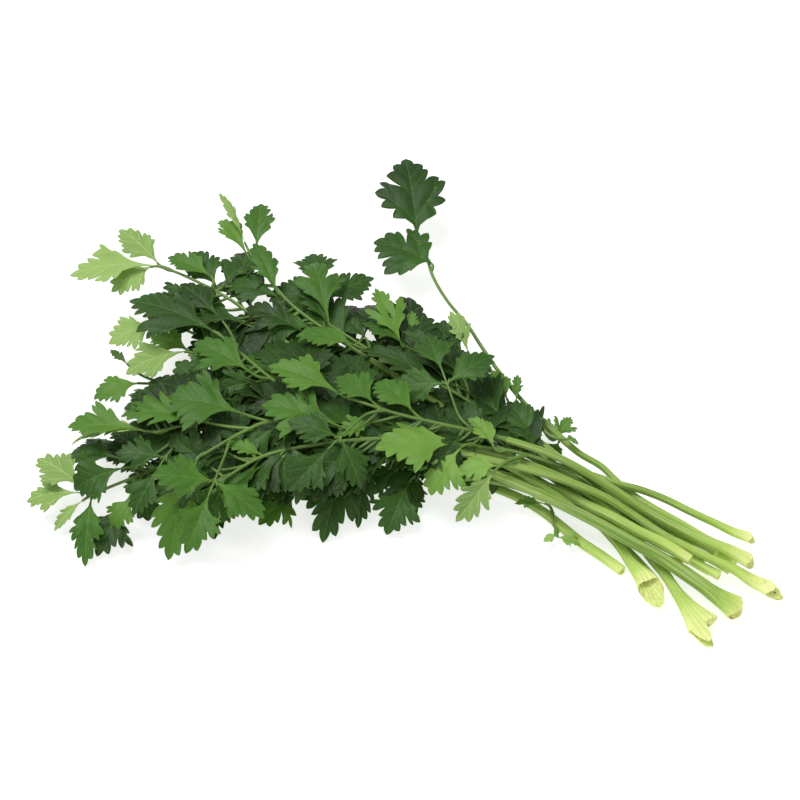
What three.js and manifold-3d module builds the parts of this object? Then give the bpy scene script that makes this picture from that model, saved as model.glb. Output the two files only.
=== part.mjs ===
// A loose bunch of flat-leaf parsley lying on its side: leafy stems spread out
// at one end, their pale clasping bases gathered at the other.
// Millimetres, +X towards the cut bases, +Z up, resting on Z = 0.
import * as THREE from 'three';
import { mergeVertices } from 'three/addons/utils/BufferGeometryUtils.js';
import Module from 'manifold-3d';

const wasm = await Module();
wasm.setup();

// ---- driving dimensions -------------------------------------------------

const BLADE_HALF_THICKNESS = 0.3;
const STALKLET_HALF_WIDTH = 0.7;
const STALKLET_HALF_THICKNESS = 0.55;
const CLEARANCE = 0.22;             // kept round a leaflet, each side
const OWN_SHARE = 0.15;             // share of a blade free to meet its own stem's others
const STEM_GAP = 1.3;               // kept between settled stems
const FORK_GAP = 0.3;               // between a stalk and its leafy part
const STATION_STEP = 3;             // spacing of the settling stations
const STALK_SIDES = 6;
const RACHIS_SIDES = 5;
const STALK_SPAN = 19;              // length of one facet along a stalk
const RACHIS_SPAN = 15;
const RACHIS_TOP_RADIUS = 1.15;     // where the leafy part starts
const RACHIS_TIP_RADIUS = 0.7;      // where the last leaflet starts
const LEAST_HEIGHT = 0.02;          // underside of anything near the surface
const TIP_CARRY = 0.7;              // share of a stem's settling its leaf tips follow
const SHORT_EDGE = 0.08;            // edges shorter than this are closed up
const MERGE_DISTANCE = 0.002;
const CENTRE_SHIFT = [-13, 7.5];    // layout origin to the middle of the bunch

// How the stems ease apart: steps, how far apart two stations can be and
// still meet, how much of a push goes sideways, how much it leans upwards,
// the spring back to the route, and the smoothing along a stem.
const SETTLING = {
  rounds: 360,
  reach: 13,
  sideways: 0.5,
  upwards: 0.8,
  pushShare: 0.6,
  keepSideways: 0.998,
  keepHeight: 0.999,
  smoothing: 0.25,
  level: -1e-6,
};
const WIDE_SHARE = 0.55;            // of a stem's half width in the room it keeps

const RIB_ARCH = 0.16;              // rise of a leaflet's rib, of its length
const STALKLET_BEND = 0.45;         // how far its stalklet runs on behind the blade
const CURL = [0.1, 0.35];           // least, and the range above it
const WAVE = 0.12;
const WAVE_RATE = 7;                // along the rib, radians
const WAVE_SLIP = 1.3;              // between the two sides of a blade
const RIB_BREAKS = [[0, 0], [0.34, 0.15], [0.68, -0.15], [1, 0]];
const STALKLET_STRIP = 14;          // length of one facet along a stalklet
const NECK = 0.001;                 // where a stalklet ends, as a rib share
const FULL_TURN = 6.28;
const ROOT_BACK = [0.7, 3];         // root behind the blade: share of its gap, and more

// A spray of three small leaflets: least value and range of each measure.
const SPRAY = {
  place: [0.2, 0.6],
  splay: [0.6, 0.6],
  length: [38, 10],
  reach: [5, 8],
  drop: [1, 4],
  droop: [-9, 9],
  stoutness: [0.92, 0.16],
  roll: [-20, 40],
  fold: [0.1, 0.2],
  curl: [0.1, 0.25],
  leastBase: 2,
  leastTip: 1.5,
};

// Clasping bases: half width, half height at the cut, and how far up the
// stalk the flare runs.
const ENDS = {
  slim: { halfWidth: 2.6, halfHeight: 1.7, run: 20 },
  thick: { halfWidth: 3.2, halfHeight: 2.6, run: 26 },
  sheath: { halfWidth: 3.6, halfHeight: 2.6, run: 30 },
  fan: { halfWidth: 5.8, halfHeight: 2.0, run: 18 },
  wide: { halfWidth: 7.0, halfHeight: 2.0, run: 24 },
  open: { halfWidth: 5.2, halfHeight: 2.6, run: 30 },
  cut: { halfWidth: 2.2, halfHeight: 1.8, run: 16 },
  young: { halfWidth: 1.6, halfHeight: 1.3, run: 8 },
};

// Half outlines of a leaflet: along the rib (0 base, 1 tip) and out from it
// (1 is the half width), base first.
const FORMS = {
  broad: [
    [0.22, 0.26], [0.42, 0.76], [0.5, 0.74], [0.6, 1.0], [0.6, 0.42], [0.78, 0.57],
    [0.9, 0.28],
  ],
  deep: [
    [0.16, 0.16], [0.37, 0.68], [0.45, 0.66], [0.63, 1.0], [0.46, 0.22], [0.78, 0.5],
    [0.9, 0.24],
  ],
  side: [
    [0.2, 0.38], [0.43, 0.92], [0.54, 1.0], [0.62, 0.84], [0.72, 0.76], [0.86, 0.46],
  ],
  slender: [
    [0.26, 0.46], [0.5, 1.0], [0.62, 0.74], [0.84, 0.46],
  ],
  rounded: [
    [0.14, 0.34], [0.3, 0.88], [0.4, 0.74], [0.54, 1.0], [0.56, 0.48], [0.78, 0.58],
    [0.9, 0.3],
  ],
  trefoil: [
    [0.26, 0.05], [0.22, 0.4], [0.29, 0.8], [0.36, 0.72], [0.5, 1.0], [0.55, 0.66],
    [0.44, 0.36], [0.4, 0.05], [0.46, 0.06], [0.6, 0.36], [0.68, 0.5], [0.74, 0.28],
    [0.88, 0.32],
  ],
};

// Leafy stems. `route` runs from the cut base to the last leaflet, and
// `fork` is the share of it that is bare stalk. A leaflet row is: base x y z,
// tip x y z, width, roll in degrees, form, fold in radians. `sprays` is how
// many sprays of three the rule adds.
const STEMS = [
  {
    name: 'front_top',
    end: 'slim',
    radius: 1.6,
    fork: 0.64,
    sprays: 0,
    route: [
      [163, -11, 5], [156, -12, 6], [148, -12, 7], [137, -12, 8], [124, -12, 9],
      [107, -15, 11], [94, -16, 13], [73, -19, 17], [56, -23, 19], [42, -28, 20],
    ],
    leaflets: [
      [41, -28, 20, 11, -48, 25, 30, 0, 'broad', 0.2],
      [41, -29, 19, 37, -51, 12, 26, -8, 'broad', 0.25],
      [58, -29, 16, 43, -39, 15, 15, 10, 'side', 0.3],
      [56, -32, 13, 50, -54, 5, 17, -25, 'slender', 0.5],
      [54, -24, 20, 39, -17, 25, 14, 20, 'side', 0.6],
    ],
  },
  {
    name: 'centre_top',
    end: 'thick',
    radius: 2.0,
    fork: 0.62,
    sprays: 2,
    route: [
      [167, -27, 6], [157, -26, 7], [146, -26, 8], [132, -24, 9], [119, -22, 10],
      [100, -19, 13], [74, -17, 17], [49, -20, 22], [30, -26, 27], [14, -31, 31], [3, -33, 33],
      [-9, -34, 34],
    ],
    leaflets: [
      [-10, -34, 34, -45, -34, 36, 23, 5, 'broad', 0.35],
      [2, -31, 33, -17, -27, 35, 22, 0, 'side', 0.2],
      [18, -27, 31, -2, -21, 34, 20, -5, 'side', 0.3],
      [-5, -47, 31, -39, -52, 34, 30, 0, 'broad', 0.15],
      [5, -38, 29, -6, -50, 28, 12, 0, 'slender', 0.3],
    ],
  },
  {
    name: 'front_long',
    end: 'sheath',
    radius: 1.8,
    fork: 0.66,
    sprays: 0,
    route: [
      [179, -32, 4], [169, -31, 4], [162, -30, 5], [147, -29, 6], [129, -27, 7], [115, -24, 8],
      [99, -23, 11], [71, -25, 15], [46, -31, 20], [14, -42, 27], [-6, -55, 29],
      [-28, -72, 28], [-40, -88, 23],
    ],
    leaflets: [
      [-29, -74, 27, -34, -98, 13, 24, -5, 'broad', 0.3],
      [-42, -89, 22, -50, -106, 12, 9, -20, 'slender', 0.5],
      [-28, -72, 28, -46, -73, 29, 9, 0, 'slender', 0.3],
      [-40, -86, 21, -42, -103, 7, 14, -15, 'side', 0.3],
      [1, -51, 26, -10, -64, 17, 21, -10, 'side', 0.25],
    ],
  },
  {
    name: 'left_high',
    end: 'fan',
    radius: 2.9,
    fork: 0.6,
    sprays: 2,
    route: [
      [168, -46, 6], [159, -45, 8], [152, -44, 10], [143, -42, 11], [134, -40, 12],
      [125, -39, 13], [106, -36, 14], [86, -33, 14], [60, -32, 16], [34, -34, 19],
      [9, -40, 23], [-11, -45, 27], [-33, -57, 31], [-40, -66, 31], [-51, -84, 29],
    ],
    leaflets: [
      [-44, -59, 33, -76, -66, 34, 34, 0, 'broad', 0.15],
      [-51, -86, 29, -48, -120, 4, 24, -5, 'broad', 0.35],
      [-57, -68, 31, -94, -76, 27, 17, 0, 'slender', 0.3],
      [-22, -49, 27, -33, -63, 24, 20, -5, 'side', 0.2],
    ],
  },
  {
    name: 'left_back',
    end: 'wide',
    radius: 2.3,
    fork: 0.66,
    sprays: 2,
    route: [
      [159, -59, 5], [149, -52, 4], [141, -46, 4], [134, -40, 4], [126, -34, 4], [115, -28, 5],
      [102, -24, 7], [83, -22, 11], [56, -23, 14], [23, -31, 19], [-6, -36, 23],
      [-35, -36, 27], [-58, -30, 31], [-75, -24, 33],
    ],
    leaflets: [
      [-77, -24, 33, -120, -22, 31, 36, 0, 'deep', 0.12],
      [-52, -36, 30, -81, -33, 33, 25, 0, 'broad', 0.2],
      [-70, -28, 31, -76, -46, 29, 16, -10, 'side', 0.25],
      [-33, -37, 27, -62, -24, 25, 21, 10, 'side', 0.3],
      [-80, -12, 27, -107, 0, 26, 20, 0, 'broad', 0.05],
    ],
  },
  {
    name: 'front_low',
    end: 'open',
    radius: 2.3,
    fork: 0.66,
    sprays: 2,
    route: [
      [138, -55, 5], [131, -49, 5], [123, -43, 4], [115, -36, 4], [105, -30, 4], [96, -24, 5],
      [84, -22, 6], [69, -19, 7], [43, -23, 9], [15, -32, 10], [-5, -45, 12], [-18, -56, 12],
    ],
    leaflets: [
      [-3, -47, 14, 4, -84, 2, 25, -5, 'broad', 0.2],
      [-19, -58, 13, -19, -73, 5, 18, 0, 'side', 0.2],
      [4, -43, 12, 14, -71, 2, 15, 0, 'side', 0.25],
    ],
  },
  {
    name: 'front_right',
    end: 'cut',
    radius: 2.6,
    fork: 0.72,
    sprays: 2,
    route: [
      [145, -35, 5], [134, -33, 6], [122, -31, 6], [107, -26, 7], [92, -22, 8], [79, -22, 9],
      [58, -26, 10], [39, -33, 10], [22, -40, 9],
    ],
    leaflets: [
      [25, -45, 8, 26, -69, 2, 23, -5, 'broad', 0.2],
      [24, -41, 8, 33, -55, 2, 12, 0, 'slender', 0.3],
      [20, -39, 9, 4, -56, 5, 21, 0, 'broad', 0.2],
    ],
  },
  {
    name: 'lone',
    end: 'cut',
    radius: 1.3,
    fork: 0.46,
    sprays: 0,
    route: [
      [156, -26, 3], [146, -25, 4], [135, -23, 5], [123, -20, 6], [111, -16, 7], [102, -11, 8],
      [95, -7, 9], [84, -4, 10], [75, 0, 11], [63, 6, 12], [51, 13, 12], [35, 24, 13],
      [24, 33, 13], [14, 41, 14], [0, 50, 15], [-12, 61, 15], [-21, 73, 15], [-27, 80, 15],
    ],
    leaflets: [
      [-30, 83, 16, -53, 120, 24, 32, 0, 'rounded', 0.12],
      [-16, 68, 15, -46, 70, 14, 31, 0, 'rounded', 0.12],
      [71, 0, 12, 62, 6, 12, 10, 0, 'deep', 0.4],
      [74, 0, 12, 76, 10, 16, 13, 0, 'deep', 0.2],
      [76, 0, 12, 82, 1, 12, 8, 0, 'side', 0.3],
      [75, -1, 10, 74, -10, 8, 10, 0, 'side', 0.4],
    ],
  },
  {
    name: 'back_right',
    end: 'cut',
    radius: 1.4,
    fork: 0.74,
    sprays: 0,
    route: [
      [157, -32, 3], [143, -30, 4], [120, -26, 5], [96, -21, 8], [71, -14, 12], [50, -8, 15],
      [34, -3, 18], [21, -1, 20],
    ],
    leaflets: [
      [20, -2, 21, -19, 0, 26, 15, 0, 'slender', 0.5],
      [26, 7, 20, -6, 16, 26, 14, 10, 'slender', 0.5],
      [21, 25, 16, 7, 37, 24, 12, 0, 'slender', 0.6],
      [20, 22, 15, 1, 34, 16, 18, 0, 'side', 0.3],
      [36, 12, 14, 12, 21, 17, 17, 0, 'side', 0.3],
    ],
  },
  {
    name: 'back_mid',
    end: 'cut',
    radius: 1.4,
    fork: 0.76,
    sprays: 0,
    route: [
      [153, -28, 2], [134, -26, 2], [117, -24, 3], [96, -19, 6], [69, -8, 10], [42, 1, 13],
      [14, 10, 16], [-6, 18, 18],
    ],
    leaflets: [
      [-6, 14, 20, -28, 34, 26, 20, 0, 'deep', 0.25],
      [-6, 21, 18, -9, 32, 22, 9, 0, 'side', 0.3],
      [-5, 16, 17, -27, 19, 19, 15, 0, 'broad', 0.25],
      [3, 19, 16, 0, 32, 19, 8, 0, 'side', 0.4],
      [-12, 17, 16, -31, 29, 16, 9, 0, 'side', 0.3],
    ],
  },
  {
    name: 'back',
    end: 'cut',
    radius: 1.4,
    fork: 0.72,
    sprays: 0,
    route: [
      [153, -26, 4], [132, -23, 5], [109, -18, 6], [80, -12, 8], [39, -4, 12], [-2, 3, 17],
      [-22, 5, 21], [-37, 8, 23],
    ],
    leaflets: [
      [-38, 8, 24, -61, 38, 28, 24, 0, 'broad', 0.2],
      [-39, 9, 22, -61, 25, 24, 14, 0, 'slender', 0.3],
      [-23, 1, 24, -47, -6, 26, 21, 15, 'side', 0.3],
      [-22, 11, 19, -34, 17, 20, 12, 0, 'side', 0.3],
    ],
  },
  {
    name: 'top_left',
    end: 'cut',
    radius: 1.5,
    fork: 0.7,
    sprays: 2,
    route: [
      [160, -24, 3], [141, -22, 4], [118, -19, 5], [81, -16, 9], [32, -9, 14], [-15, 1, 19],
      [-54, 9, 25], [-65, 14, 26], [-79, 23, 27], [-86, 28, 27],
    ],
    leaflets: [
      [-87, 27, 26, -112, 43, 28, 13, 0, 'broad', 0.4],
      [-93, 34, 27, -117, 54, 32, 6, 0, 'slender', 0.9],
      [-87, 34, 27, -97, 58, 30, 15, 0, 'side', 0.2],
      [-66, 13, 27, -88, 33, 31, 14, 0, 'slender', 0.35],
      [-62, 12, 25, -90, 10, 24, 20, 0, 'broad', 0.25],
    ],
  },
  {
    name: 'left_far',
    end: 'cut',
    radius: 1.5,
    fork: 0.66,
    sprays: 0,
    route: [
      [149, -27, 3], [124, -24, 4], [100, -19, 5], [78, -19, 8], [46, -18, 12], [1, -11, 16],
      [-44, -9, 21], [-83, 1, 26], [-105, 4, 27], [-120, 5, 27],
    ],
    leaflets: [
      [-123, 7, 26, -147, 15, 30, 17, 0, 'side', 0.15],
      [-122, 4, 27, -155, -16, 26, 22, 0, 'broad', 0.12],
      [-125, 4, 25, -135, -14, 22, 20, 0, 'side', 0.15],
      [-97, 9, 27, -120, 11, 27, 15, 0, 'side', 0.3],
      [-46, -1, 24, -76, 2, 24, 20, 0, 'broad', 0.2],
    ],
  },
  {
    name: 'left',
    end: 'cut',
    radius: 1.5,
    fork: 0.66,
    sprays: 2,
    route: [
      [141, -30, 2], [121, -27, 3], [101, -21, 4], [81, -21, 6], [42, -20, 10], [1, -22, 14],
      [-39, -27, 18], [-66, -31, 21], [-85, -33, 23],
    ],
    leaflets: [
      [-109, -22, 19, -123, -38, 18, 20, 0, 'side', 0.2],
      [-87, -33, 24, -106, -52, 21, 25, 0, 'broad', 0.4],
      [-100, -52, 17, -114, -66, 15, 17, 0, 'side', 0.2],
      [-109, -45, 18, -120, -41, 18, 5, 0, 'slender', 0.3],
      [-87, -30, 22, -107, -29, 20, 15, 0, 'side', 0.3],
    ],
  },
  {
    name: 'left_front',
    end: 'cut',
    radius: 2.2,
    fork: 0.66,
    sprays: 0,
    route: [
      [121, -44, 3], [111, -41, 3], [100, -38, 3], [90, -34, 3], [80, -30, 3], [66, -27, 3],
      [45, -28, 3], [8, -36, 5], [-28, -50, 9], [-59, -72, 12], [-79, -95, 12],
      [-90, -110, 12],
    ],
    leaflets: [
      [-93, -108, 13, -117, -105, 18, 20, 0, 'broad', 0.15],
      [-94, -110, 12, -114, -121, 9, 17, 0, 'broad', 0.15],
      [-92, -112, 10, -98, -126, 3, 7, 0, 'slender', 0.4],
      [-83, -93, 15, -98, -109, 12, 25, 0, 'broad', 0.2],
      [-89, -110, 10, -78, -135, 1.5, 14, 0, 'side', 0.3],
      [-76, -104, 8, -76, -129, 2, 23, 0, 'broad', 0.2],
      [-73, -104, 13, -75, -118, 7, 15, 0, 'side', 0.2],
      [-69, -84, 12, -80, -99, 7, 24, 0, 'broad', 0.1],
      [-76, -92, 11, -65, -106, 4, 22, 0, 'broad', 0.05],
      [-55, -66, 8, -71, -85, 5, 22, 0, 'broad', 0.1],
      [-67, -78, 8, -62, -97, 3, 18, 0, 'side', 0.2],
    ],
  },
  {
    name: 'front_left',
    end: 'cut',
    radius: 1.6,
    fork: 0.72,
    sprays: 0,
    route: [
      [136, -41, 2], [126, -35, 2], [113, -29, 2], [101, -25, 3], [85, -24, 3], [67, -25, 3],
      [43, -32, 4], [7, -46, 5], [-17, -62, 6], [-49, -81, 6],
    ],
    leaflets: [
      [-14, -67, 6, -24, -87, 2, 22, 0, 'broad', 0.2],
      [-50, -84, 6, -51, -106, 2, 17, 0, 'side', 0.25],
      [-35, -71, 6, -35, -86, 2, 16, 0, 'side', 0.2],
    ],
  },
  {
    name: 'left_mid',
    end: 'cut',
    radius: 1.6,
    fork: 0.66,
    sprays: 2,
    route: [
      [154, -40, 2], [142, -37, 3], [128, -35, 4], [105, -31, 6], [83, -26, 8], [52, -22, 12],
      [13, -28, 18], [-23, -39, 23], [-51, -58, 26], [-64, -68, 26], [-76, -78, 25],
    ],
    leaflets: [
      [-81, -79, 25, -112, -88, 21, 20, 0, 'broad', 0.3],
      [-76, -79, 26, -109, -94, 20, 13, 0, 'slender', 0.7],
      [-85, -91, 18, -110, -96, 13, 20, 0, 'broad', 0.2],
      [-62, -65, 20, -82, -83, 15, 23, 0, 'broad', 0.2],
      [-53, -61, 18, -60, -83, 11, 21, 0, 'deep', 0.25],
    ],
  },
  {
    name: 'right_back',
    end: 'cut',
    radius: 1.3,
    fork: 0.8,
    sprays: 0,
    route: [
      [159, -28, 3], [144, -26, 4], [119, -23, 6], [94, -16, 9], [76, -11, 11], [63, -4, 11],
      [50, 5, 12],
    ],
    leaflets: [
      [46, 8, 13, 35, 17, 17, 13, 0, 'side', 0.2],
      [50, 9, 13, 46, 20, 17, 6, 0, 'slender', 0.3],
      [63, -5, 10, 45, 10, 10, 17, 0, 'side', 0.3],
    ],
  },
  {
    name: 'young_low',
    end: 'young',
    radius: 0.9,
    fork: 0,
    sprays: 0,
    route: [
      [85, -33, 4], [86, -36, 4], [88, -39, 3], [91, -42, 3],
    ],
    leaflets: [
      [80, -30, 4, 68, -34, 3, 7, 0, 'deep', 0.4],
      [90, -41, 2, 86, -46, 1.5, 5, 0, 'side', 0.3],
      [91, -42, 2, 101, -42, 3, 9, 0, 'deep', 0.4],
    ],
  },
];

// ---- a repeatable draw --------------------------------------------------

function draws(seed) {
  let state = seed;
  return () => {
    state = (state * 48271) % 2147483647;
    return state / 2147483647;
  };
}

// ---- stems: routes, radii and settling ----------------------------------

function stationsOf(stem) {
  const curve = new THREE.CatmullRomCurve3(
    stem.route.map((p) => new THREE.Vector3(...p)), false, 'centripetal');
  const length = curve.getLength();
  const count = Math.round(length / STATION_STEP);
  const points = curve.getSpacedPoints(count);
  return { points, length, count };
}

function sizeAt(stem, share, length) {
  const end = ENDS[stem.end];
  const along = share * length;
  const forkAt = Math.max(stem.fork, 0.001);
  let radius = THREE.MathUtils.lerp(stem.radius, RACHIS_TOP_RADIUS * 1.25, share / forkAt);
  if (share > stem.fork) {
    const rest = (share - stem.fork) / (1 - stem.fork + 1e-6);
    radius = THREE.MathUtils.lerp(RACHIS_TOP_RADIUS, RACHIS_TIP_RADIUS, rest);
  }
  const flare = Math.max(0, 1 - along / end.run) ** 2;
  return {
    wide: THREE.MathUtils.lerp(radius, end.halfWidth, flare),
    high: THREE.MathUtils.lerp(radius, end.halfHeight, flare),
  };
}

function pairsNear(lines, reach) {
  const pairs = [];
  for (let a = 0; a < lines.length; a++) {
    for (let b = a + 1; b < lines.length; b++) {
      lines[a].wish.forEach((p, i) => {
        lines[b].wish.forEach((q, j) => {
          if (Math.abs(p.x - q.x) < reach && Math.abs(p.y - q.y) < reach) {
            pairs.push([a, i, b, j]);
          }
        });
      });
    }
  }
  return pairs;
}

// Stems start on their routes and are eased apart, mostly up and down,
// until none is nearer than STEM_GAP to another or below the surface.
function settle(lines) {
  const pairs = pairsNear(lines, SETTLING.reach);
  for (let round = 0; round < SETTLING.rounds; round++) {
    const push = lines.map((l) => l.now.map(() => [0, 0, 0, 0]));
    for (const [a, i, b, j] of pairs) {
      const p = lines[a].now[i];
      const q = lines[b].now[j];
      const need = lines[a].keep[i] + lines[b].keep[j] + STEM_GAP;
      const dx = q.x - p.x;
      const dy = q.y - p.y;
      const dz = q.z - p.z;
      const apart = Math.sqrt(dx * dx + dy * dy + dz * dz);
      if (apart >= need) continue;
      const up = dz >= SETTLING.level ? 1 : -1;
      const wx = dx * SETTLING.sideways;
      const wy = dy * SETTLING.sideways;
      const wz = dz + up * SETTLING.upwards;
      const size = Math.sqrt(wx * wx + wy * wy + wz * wz);
      const step = (need - apart) * 0.5 / size;
      const pa = push[a][i];
      const pb = push[b][j];
      pa[0] -= wx * step;
      pa[1] -= wy * step;
      pa[2] -= wz * step;
      pa[3] += 1;
      pb[0] += wx * step;
      pb[1] += wy * step;
      pb[2] += wz * step;
      pb[3] += 1;
    }
    lines.forEach((line, k) => ease(line, push[k]));
  }
}

function ease(line, push) {
  const off = line.now.map((p, i) => {
    const n = Math.max(1, push[i][3] * SETTLING.pushShare);
    const { keepSideways, keepHeight } = SETTLING;
    return [
      (p.x - line.wish[i].x) * keepSideways + push[i][0] / n,
      (p.y - line.wish[i].y) * keepSideways + push[i][1] / n,
      (p.z - line.wish[i].z) * keepHeight + push[i][2] / n,
    ];
  });
  const last = off.length - 1;
  const own = 1 - 2 * SETTLING.smoothing;
  line.now.forEach((p, i) => {
    const before = off[Math.max(0, i - 1)];
    const after = off[Math.min(last, i + 1)];
    const eased = off[i].map((v, c) => v * own + (before[c] + after[c]) * SETTLING.smoothing);
    p.set(line.wish[i].x + eased[0], line.wish[i].y + eased[1], line.wish[i].z + eased[2]);
    p.z = Math.max(p.z, line.keep[i] + LEAST_HEIGHT);
  });
}

function settledLines() {
  const lines = STEMS.map((stem) => {
    const { points, length, count } = stationsOf(stem);
    const sizes = points.map((p, i) => sizeAt(stem, i / count, length));
    return {
      stem,
      length,
      sizes,
      wish: points,
      now: points.map((p) => p.clone()),
      keep: sizes.map((s) => s.wide * WIDE_SHARE + s.high * (1 - WIDE_SHARE)),
    };
  });
  settle(lines);
  return lines;
}

// ---- solids -------------------------------------------------------------

function solidOf(vertices, triangles) {
  return new wasm.Manifold(new wasm.Mesh({
    numProp: 3,
    vertProperties: new Float32Array(vertices),
    triVerts: new Uint32Array(triangles),
  }));
}

// A tapered, slightly flattened stem along part of a settled line.
function stemSolid(line, from, to, sides, span, gap) {
  const stretch = line.now.slice(from, to + 1);
  const steps = Math.max(1, Math.round((to - from) * STATION_STEP / span));
  const vertices = [];
  const triangles = [];
  for (let k = 0; k <= steps; k++) {
    const i = Math.round(k * (to - from) / steps);
    const here = stretch[i];
    const ahead = stretch[Math.min(i + 1, to - from)];
    const behind = stretch[Math.max(i - 1, 0)];
    const along = ahead.clone().sub(behind).normalize();
    const across = new THREE.Vector3(-along.y, along.x, 0).normalize();
    const up = along.clone().cross(across);
    const { wide, high } = line.sizes[from + i];
    const setIn = k === 0 ? gap : 0;
    for (let s = 0; s < sides; s++) {
      const turn = (s / sides) * 2 * Math.PI - Math.PI / 2 - (Math.PI / sides);
      const p = here.clone()
        .addScaledVector(along, setIn)
        .addScaledVector(across, Math.cos(turn) * wide)
        .addScaledVector(up, Math.sin(turn) * high);
      vertices.push(p.x, p.y, p.z);
    }
  }
  for (let k = 0; k < steps; k++) {
    for (let s = 0; s < sides; s++) {
      const a = k * sides + s;
      const b = k * sides + ((s + 1) % sides);
      triangles.push(a, b, b + sides, a, b + sides, a + sides);
    }
  }
  const top = steps * sides;
  for (let s = 1; s < sides - 1; s++) {
    triangles.push(0, s + 1, s);
    triangles.push(top, top + s, top + s + 1);
  }
  return solidOf(vertices, triangles);
}

// ---- leaflets -----------------------------------------------------------

// The skeleton of one leaflet: root on the rachis, stalklet, rib and the
// directions the blade spreads in.
function leafletFrame(root, base, tip, roll, hop) {
  const chord = tip.clone().sub(base).normalize();
  const level = new THREE.Vector3(-chord.y, chord.x, 0).normalize();
  const spread = level.applyAxisAngle(chord, THREE.MathUtils.degToRad(roll));
  const face = chord.clone().cross(spread).normalize();
  const length = tip.distanceTo(base);
  const arch = base.clone().add(tip).multiplyScalar(0.5).addScaledVector(face, length * RIB_ARCH);
  const rib = new THREE.QuadraticBezierCurve3(base, arch, tip);
  const reach = root.distanceTo(base);
  const start = arch.clone().sub(base).normalize();
  const bend = base.clone().addScaledVector(start, -reach * STALKLET_BEND);
  bend.z += hop;
  const stalklet = new THREE.QuadraticBezierCurve3(root, bend, base);
  return { rib, stalklet, spread, length, reach };
}

function ribPoint(frame, u, v, row) {
  const at = frame.rib.getPoint(u);
  const along = frame.rib.getTangent(u);
  const face = along.clone().cross(frame.spread).normalize();
  const half = row.width / 2;
  const out = Math.abs(v) * half;
  const side = Math.sign(v);
  const swing = Math.sin(u * WAVE_RATE + row.phase + side * WAVE_SLIP);
  const wave = row.wave * half * Math.abs(v) * swing;
  const rise = out * Math.sin(row.fold) - row.curl * out * out / half + wave;
  return at
    .addScaledVector(frame.spread, side * out * Math.cos(row.fold))
    .addScaledVector(face, rise);
}

// Flat pattern of a leaflet: vertices as [rib share, out share] with the
// stalklet at negative shares, and triangles on them.
function patternOf(row, reach, length) {
  const outline = FORMS[row.form];
  const strips = Math.max(1, Math.min(2, Math.round(reach / STALKLET_STRIP)));
  const flat = [];
  const place = (u, v, x, y) => flat.push({ u, v, x, y }) - 1;
  const half = row.width / 2;
  const sides = [1, -1].map((side) => {
    const stem = [];
    for (let k = 0; k < strips; k++) {
      const share = -1 + k / strips;
      stem.push(place(share, side, share * reach, side * STALKLET_HALF_WIDTH));
    }
    stem.push(place(-NECK, side, 0, side * STALKLET_HALF_WIDTH));
    const blade = outline.map(([u, v]) => place(u, side * v, u * length, side * v * half));
    return { stem, blade };
  });
  const middle = RIB_BREAKS.map(([u, aside]) => place(u, 0, u * length, aside));
  const loops = [];
  const [left, right] = sides;
  loops.push([...right.stem, middle[0], ...left.stem.slice().reverse()]);
  loops.push([middle[0], middle[1], middle[2], middle[3],
    ...left.blade.slice().reverse(), left.stem[strips]]);
  loops.push([middle[0], right.stem[strips], ...right.blade,
    middle[3], middle[2], middle[1]]);
  const triangles = [];
  for (const loop of loops) {
    const shape = loop.map((i) => new THREE.Vector2(flat[i].x, flat[i].y));
    for (const [a, b, c] of THREE.ShapeUtils.triangulateShape(shape, [])) {
      triangles.push(upright(flat, [loop[a], loop[b], loop[c]]));
    }
  }
  const border = [...right.stem, ...right.blade, middle[3],
    ...left.blade.slice().reverse(), ...left.stem.slice().reverse()];
  return { flat, triangles, border };
}

function areaOf(flat, [a, b, c]) {
  return (flat[b].x - flat[a].x) * (flat[c].y - flat[a].y)
    - (flat[c].x - flat[a].x) * (flat[b].y - flat[a].y);
}

function upright(flat, t) {
  return areaOf(flat, t) < 0 ? [t[0], t[2], t[1]] : t;
}

function leafletSolid(root, base, tip, row, extra) {
  const frame = leafletFrame(root, base, tip, row.roll, row.hop);
  const { flat, triangles, border } = patternOf(row, frame.reach, frame.length);
  const middle = flat.map(({ u, v }) => {
    if (u >= 0) return ribPoint(frame, u, v, row);
    const at = frame.stalklet.getPoint(1 + u);
    return at.addScaledVector(frame.spread, v * STALKLET_HALF_WIDTH);
  });
  const floor = LEAST_HEIGHT + BLADE_HALF_THICKNESS;
  for (const p of middle) p.z = Math.max(p.z, floor);
  const normals = middle.map(() => new THREE.Vector3());
  for (const [a, b, c] of triangles) {
    const n = middle[b].clone().sub(middle[a]).cross(middle[c].clone().sub(middle[a]));
    normals[a].add(n);
    normals[b].add(n);
    normals[c].add(n);
  }
  const count = flat.length;
  const vertices = [];
  for (const way of [1, -1]) {
    middle.forEach((p, i) => {
      const thick = flat[i].u < 0 ? STALKLET_HALF_THICKNESS : BLADE_HALF_THICKNESS;
      const q = p.clone().addScaledVector(normals[i].clone().normalize(), way * (thick + extra));
      vertices.push(q.x, q.y, q.z);
    });
  }
  const faces = [];
  for (const [a, b, c] of triangles) faces.push(a, b, c, count + a, count + c, count + b);
  border.forEach((a, k) => {
    const b = border[(k + 1) % border.length];
    faces.push(a, count + a, count + b, a, count + b, b);
  });
  return solidOf(vertices, faces);
}

// ---- placing the leaflets -----------------------------------------------

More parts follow.
